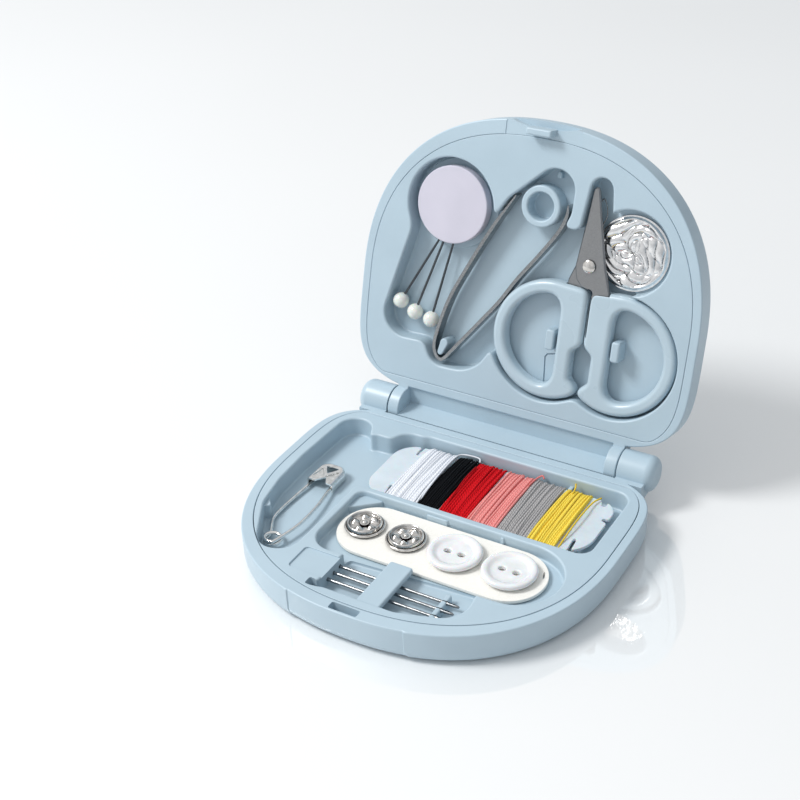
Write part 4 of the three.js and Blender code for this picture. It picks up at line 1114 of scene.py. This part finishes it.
# loose ends: points x, u, z along each
strays = {
    "thread_white": [[(-6.3, 32.6, 5.3), (-6.35, 28, 6.4), (-6.6, 21.5, 6.85), (-7.0, 14, 6.4),
                      (-6.6, 10.6, 6.0), (-4, 10.2, 6.3), (-1.6, 10.3, 6.3), (-0.7, 11.6, 6.3)]],
    "thread_red": [[(0.2, 32.4, 5.4), (0.1, 26, 6.7), (-0.3, 20, 6.95), (-0.5, 14, 6.5)]],
    "thread_pink": [[(13.9, 15, 6.5), (14.2, 11.2, 6.2), (15.2, 10.3, 6.7), (15.8, 10.6, 6.2)]],
    "thread_yellow": [[(24.2, 13, 6.3), (24.0, 11, 6.5), (23.8, 10.3, 7.3)],
                      [(29.3, 32.2, 5.3), (29.5, 26, 6.4), (29.6, 20, 6.7), (29.8, 14, 6.3),
                       (30.7, 11.3, 6.1)]],
}


def makeWindings():
    tree = windingTree()
    sockets = {i.name: i.identifier for i in tree.interface.items_tree if i.in_out == "INPUT"}
    for seed, (node, slant) in enumerate(windings["slant"].items()):
        low, high, _ = placeOf(node, onBase)
        centre, half = (low + high) / 2, (high - low) / 2
        strand, uneven = windings["strandRadius"], windings["uneven"]
        finish = threadFinish[node]
        room = half[0] - strand + windings["beyond"] - abs(slant) * half[1] * 0.5
        turns = int(2 * room / windings["pitch"]) + 1
        layers = []
        for layer, inset in enumerate((0.0, 0.28)):
            reach = strand + uneven + inset
            winding = loopMesh(node + "_layer", crowned(half[1] - reach, half[2] - reach))
            step = winding.modifiers.new("winding", "NODES")
            step.node_group = tree
            first = centre[0] - room + layer * windings["pitch"] / 2
            start = onBase @ (Vector((first, centre[1], centre[2])) * mm)
            values = {"Turns": turns - layer, "Pitch": 2 * room / (turns - 1) * mm, "Start": start,
                      "Strand radius": strand * mm, "Slant": slant, "Unevenness": uneven * mm,
                      "Seed": seed * 7 + layer, "Finish": finish}
            for label, value in values.items():
                step[sockets[label]] = value
            layers.append(applied(winding))
        section = np.array([p[1:] for p in crowned(half[1] - 0.75, half[2] - 0.62)])
        core = solid("core", section, slabProfile(-half[0] + 0.2, half[0] - 0.2, 0.2, 0.2, 2))
        core.data.transform(Matrix.Translation((centre[0], 0, centre[2])) @ layAlongX)
        core.data.transform(Matrix.Translation((0, centre[1], 0)))
        ends = [tube("end", throughPoints([(x, -u, z) for x, u, z in points], 8), 0.2, 8)
                for points in strays.get(node, [])]
        for part in [core] + ends:
            part.data.transform(onBase @ Matrix.Scale(mm, 4))
        winding = joined(node + "_winding", layers + [core] + ends)
        winding.data.materials.append(finish)
        winding.data.polygons.foreach_set("material_index", [0] * len(winding.data.polygons))
        winding.data.polygons.foreach_set("use_smooth", [True] * len(winding.data.polygons))
        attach(winding, "thread_card")
        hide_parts(node)


makeThreadCard()
makeWindings()
print("threads wound")


def makeButtonCard():
    low, high, _ = placeOf("button_card", onBase)
    radius = (high[1] - low[1]) / 2
    y = (low[1] + high[1]) / 2
    loop = evenly(hullOf([[low[0] + radius, y, radius], [high[0] - radius, y, radius]]), 0.5)
    card = solid("stitched_card", loop, slabProfile(low[2], high[2], 0.15, 0.1, 2))
    slitLine = hullOf([[high[0] - 2.2, y + 4.2, 0.18], [high[0] - 1.5, y + 2.4, 0.18]], 12)
    slit = solid("cut", evenly(slitLine, 0.2), [(0, 0), (0, 9)])
    combine(card, slit)
    finishPiece(card, onBase, "button_card", board, ["button_card"])


def makePressStuds():
    for side in ("left", "right"):
        low, high, _ = placeOf(f"press_stud_{side}_socket", onBase)
        x, y, radius = (low[0] + high[0]) / 2, (low[1] + high[1]) / 2, (high[0] - low[0]) / 2
        thick = high[2] - low[2]
        # a rolled ring with a bead at its edge
        profile = [(0, 0), (radius - 0.35, 0)]
        profile += [(radius - 0.35 + 0.35 * math.sin(a), 0.35 - 0.35 * math.cos(a))
                    for a in quarter(8, 0, 180)][1:]
        profile += [(radius - 0.9, thick - 0.15), (1.5, thick - 0.2), (0, thick - 0.2)]
        socket = turned(f"press_stud_{side}_ring", profile, x, y, 72, low[2])
        finishPiece(socket, onBase, "button_card", studNickel, [f"press_stud_{side}_socket"])
        low, high, _ = placeOf(f"press_stud_{side}_top", onBase)
        radius = (high[0] - low[0]) / 2
        turnStart = 0.4 if side == "left" else 1.3

        # rolled rim, then a dished face with five bosses round a domed stud
        def pressed(r, t):
            share = r / radius
            rim = 0.74 * math.exp(-((share - 0.9) / 0.08) ** 2)
            edge = -0.4 * max(0.0, (share - 0.93) / 0.07) ** 2
            band = math.exp(-((share - 0.55) / 0.17) ** 2)
            boss = 0.7 * max(0.0, math.cos(2.5 * (t + turnStart)) ** 2) ** 1.6 * band
            stud = 0.72 * math.exp(-(share / 0.17) ** 4)
            return high[2] - 0.74 + rim + edge + boss + stud

        top = polarDisc(f"press_stud_{side}_cap", x, y, high[2] - 1.0, radius, pressed, 44, 120)
        neck = turned("neck", [(0, 0), (1.1, 0), (1.1, 1.0), (0, 1.0)], x, y, 32, low[2])
        cap = joined(f"press_stud_{side}_face", [top, neck])
        finishPiece(cap, onBase, "button_card", studNickel, [f"press_stud_{side}_top"], 60)


def makeButtons():
    shape = {"rim": 1.5, "dish": 0.6, "hole": 0.7, "halfPitch": 1.7, "edge": 0.7}
    for side in ("left", "right"):
        low, high, _ = placeOf(f"button_{side}", onBase)
        x, y, radius = (low[0] + high[0]) / 2, (low[1] + high[1]) / 2, (high[0] - low[0]) / 2
        thick = high[2] - low[2]
        edge = shape["edge"]
        profile = [(0, 0), (radius - 1.5, 0)]
        profile += [(radius - 1.5 + 1.5 * math.sin(a), 0.8 - 0.8 * math.cos(a)) for a in quarter(6)][1:]
        profile += [(radius - edge + edge * math.cos(a), thick - edge + edge * math.sin(a))
                    for a in quarter(7)]
        floor = thick - shape["dish"]
        for k in range(1, 9):  # the dish falls from the rim in a soft curve
            share = k / 8
            profile.append((radius - edge - 0.3 - shape["rim"] * share,
                            floor + shape["dish"] * (0.5 + 0.5 * math.cos(math.pi * share))))
        profile += [(r, floor) for r in (2.9, 2.0, 1.0)] + [(0, floor)]
        button = turned("button", profile, x, y, 96, low[2])
        for sign in (-1, 1):
            loop = evenly(hullOf([[x + sign * shape["halfPitch"] - 0.15, y, shape["hole"]],
                                  [x + sign * shape["halfPitch"] + 0.15, y, shape["hole"]]], 40), 0.2)
            combine(button, solid("cut", loop, pocketProfile(low[2] - 1, low[2] + floor, 0.3, 0, 5)))
        button.name = f"shirt_button_{side}"
        finishPiece(button, onBase, "button_card", buttonResin, [f"button_{side}"], 40)


makeButtonCard()
makePressStuds()
makeButtons()
print("buttons and press studs made")


def makeNeedles():
    eye = {"length": 1.6, "fromEnd": 1.0, "half": 0.16}
    for k in (1, 2, 3):
        low, high, _ = placeOf(f"needle_{k}", onBase)
        y, z, radius = (low[1] + high[1]) / 2, (low[2] + high[2]) / 2, (high[2] - low[2]) / 2
        x0, x1 = low[0], high[0]
        length = x1 - x0
        taper = [(0, 0.02), (0.8, 0.16), (2.0, 0.3), (4, 0.38)]  # distance from the point, and radius there
        taper += [(d, 0.4) for d in np.arange(6, length - 5, 2)]
        taper += [(length - d, r) for d, r in ((4, 0.38), (3, 0.4), (0.9, 0.4), (0.6, 0.36), (0.15, 0.24))]
        taper += [(length, 0.05)]
        radii = [min(r, radius) for _, r in taper]
        needle = tube(f"sewing_needle_{k}", [(x0 + d, y, z) for d, _ in taper], radii, 16)
        end = x1 - eye["fromEnd"]
        loop = evenly(hullOf([[end - eye["length"], y, eye["half"]], [end, y, eye["half"]]], 24), 0.12)
        combine(needle, solid("cut", loop, [(0, z - 1), (0, z + 1)]))
        finishPiece(needle, onBase, "base", needleNickel, [f"needle_{k}"])


makeNeedles()


safetyPin = {"x": -31.5, "capU": 29.8, "coilU": 57.0, "coilX": -29.9, "wire": 0.43, "coil": 1.9, "half": 3.2}


def makeSafetyPin():
    low, _, _ = placeOf("safety_pin_wire", onBase)
    x, capU, coilU, coilX = (safetyPin[k] for k in ("x", "capU", "coilU", "coilX"))
    wire, coil = safetyPin["wire"], safetyPin["coil"]
    floor = tray["floor"] + play + wire
    high = floor + 2 * wire + play + 0.1
    points = [[x - 2.2, capU, floor + 0.4], [x - 2.9, capU + 4.5, floor + 0.2], [x - 3.4, 41.4, floor],
              [x - 3.5, 46.5, floor], [x - 3.0, 50.4, floor], [coilX - coil - 0.35, coilU - 2.2, floor]]
    for i in range(21):  # down the left side, once round and out at the foot
        a = math.pi + 2.75 * math.pi * i / 20
        points.append([coilX + coil * math.cos(a), coilU - coil * math.sin(a),
                       floor + (high - floor) * i / 20])
    points += [[-27.2, 52.5, high], [-26.9, 48.0, high - 0.1], [-27.3, 42.5, high - 0.3],
               [-28.3, 36.5, floor + 0.7], [x + 2.6, capU + 3.5, floor + 0.4], [x + 2.0, capU, floor + 0.4]]
    path = throughPoints([(a, -u, z) for a, u, z in points], 5)
    wirePiece = tube("pin_spring_wire", path, wire, 14)
    finishPiece(wirePiece, onBase, "safety_pin", pinNickel, ["safety_pin_wire"])

    low, high, _ = placeOf("safety_pin_cap", onBase)
    x = (low[0] + high[0]) / 2
    hollow, sheet = safetyPin["half"] - 0.3, 0.4

    def capOutline(grow):
        domed = [[x + s * 0.9, capU + 0.1, 2.2 + grow] for s in (-1, 1)]
        mouthSides = [[x + s * (hollow - 0.6), capU + 5.4, 0.9 + grow] for s in (-1, 1)]
        return mirrored(evenly(hullOf(domed + mouthSides), 0.25), baseSide)

    def pressing(points, arc, spacing):  # a cutter's outline, from discs placed from the cap's own middle
        discs = [[x + a, capU + u, r] for a, u, r in points]
        return mirrored(evenly(hullOf(discs, arc), spacing), baseSide)

    cap = solid("cap", capOutline(sheet), slabProfile(low[2], high[2], 0.7, 0.2, 6))
    inside = solid("cut", capOutline(0), slabProfile(low[2] - 1, high[2] - sheet, 0.5, 0, 4))
    mouth = boxCut("cut", x - 8, x + 8, -capU - 9, -capU - 5.3, low[2] - 1, high[2] + 3, 0.1)
    # the folded wings leave a sunk triangle at each side of the middle
    wing = [solid("cut", pressing([[side * 2.2, 0.4, 0.15], [side * 2.7, 3.6, 0.15],
                                   [side * 0.35, 2.9, 0.15]], 16, 0.2),
                  pocketProfile(high[2] - 0.3, high[2], 0.12, 0.08, 3)) for side in (1, -1)]
    eye = solid("cut", pressing([[-1.3, -0.7, 0.3], [1.3, -0.7, 0.3], [0, 1.4, 0.2]], 24, 0.2),
                pocketProfile(high[2] - sheet - 0.6, high[2], 0.12, 0, 3))
    # between the wings the mouth opens in a notch
    notch = solid("cut", pressing([[0.5, 3.6, 0.3], [-1.9, 6.6, 0.3], [2.2, 6.6, 0.3]], 24, 0.2),
                  [(0, high[2] - sheet - 0.3), (0, high[2] + 1)])
    combine(cap, inside, mouth, *wing, eye, notch)
    cap.name = "pin_folded_cap"
    finishPiece(cap, onBase, "safety_pin", pinNickel, ["safety_pin_cap"], 30)


makeSafetyPin()
print("needles and safety pin made")


def makeStage():
    bm = bmesh.new()
    bmesh.ops.create_grid(bm, x_segments=1, y_segments=1, size=3.0)
    floor = meshed("studio_floor", bm)
    floor.location.z = cadLow.z - 0.0002
    material, tree, shader = newMaterial("gloss_white_acrylic", "#f2f3f3", 0.03, ior=2.8)
    place = addNode(tree, "ShaderNodeTexCoord").outputs["Object"]
    haze = addNode(tree, "ShaderNodeTexNoise", {"Vector": place}, {"Scale": 3.0})
    shade = addNode(tree, "ShaderNodeValToRGB", {"Fac": haze.outputs["Fac"]},
                    stops=((0.3, "#f0f1f1"), (0.7, "#f5f6f6")))
    tree.links.new(shade.outputs["Color"], shader.inputs["Base Color"])
    floor.data.materials.append(material)

    world = bpy.data.worlds.new("studio")
    bpy.context.scene.world = world
    world.use_nodes = True
    sky = world.node_tree
    sky.nodes["Background"].inputs["Strength"].default_value = 0.86
    # a bright ceiling, dimmer low on the right
    way = addNode(sky, "ShaderNodeTexCoord").outputs["Generated"]
    lit = addNode(sky, "ShaderNodeVectorMath", {0: way}, {1: (-0.55, -0.3, 0.78)}, operation="DOT_PRODUCT")
    share = addNode(sky, "ShaderNodeMapRange", {"Value": lit.outputs["Value"]}, {"From Min": -1.0})
    ramp = addNode(sky, "ShaderNodeValToRGB", {"Fac": share.outputs["Result"]},
                   stops=((0.12, "#2b3036"), (0.34, "#a3abb3"), (1.0, "#ffffff")))
    sky.links.new(ramp.outputs["Color"], sky.nodes["Background"].inputs["Color"])

    key = {"from": (-0.66, -0.40, 0.95), "aim": (0, 0.02, 0.03), "size": 0.38, "watts": 10.2}
    light = bpy.data.lights.new("key", "AREA")
    light.shape = "DISK"
    light.size = key["size"]
    light.energy = key["watts"]
    lamp = bpy.data.objects.new("key", light)
    lamp.location = key["from"]
    lamp.rotation_mode = "QUATERNION"
    lamp.rotation_quaternion = (Vector(key["aim"]) - lamp.location).to_track_quat("-Z", "Y")
    bpy.context.scene.collection.objects.link(lamp)
    bpy.context.scene.view_settings.view_transform = "Standard"


def makeCamera():
    # the hinge's middle lies this far right of, below and ahead of the camera, in mm
    shot = {"azimuth": 31.96, "elevation": 32.54, "roll": -2.82, "right": 25.6, "up": -8.0, "ahead": 358.0,
            "lens": 65.9}
    az, el, roll = (math.radians(shot[k]) for k in ("azimuth", "elevation", "roll"))
    back = Vector((math.sin(az) * math.cos(el), -math.cos(az) * math.cos(el), math.sin(el)))
    right = Vector((math.cos(az), math.sin(az), 0))
    up = back.cross(right)
    c, s = math.cos(roll), math.sin(roll)
    facing = Matrix((c * right + s * up, -s * right + c * up, back)).transposed()
    camera = bpy.data.objects.new("camera", bpy.data.cameras.new("camera"))
    camera.data.lens = shot["lens"]
    camera.data.sensor_width = 36
    camera.data.clip_start = 0.01
    place = hingePlace - facing @ (Vector((shot["right"], shot["up"], -shot["ahead"])) * mm)
    camera.matrix_world = Matrix.Translation(place) @ facing.to_4x4()
    bpy.context.scene.collection.objects.link(camera)
    bpy.context.scene.camera = camera


makeStage()
makeCamera()
print("stage set")
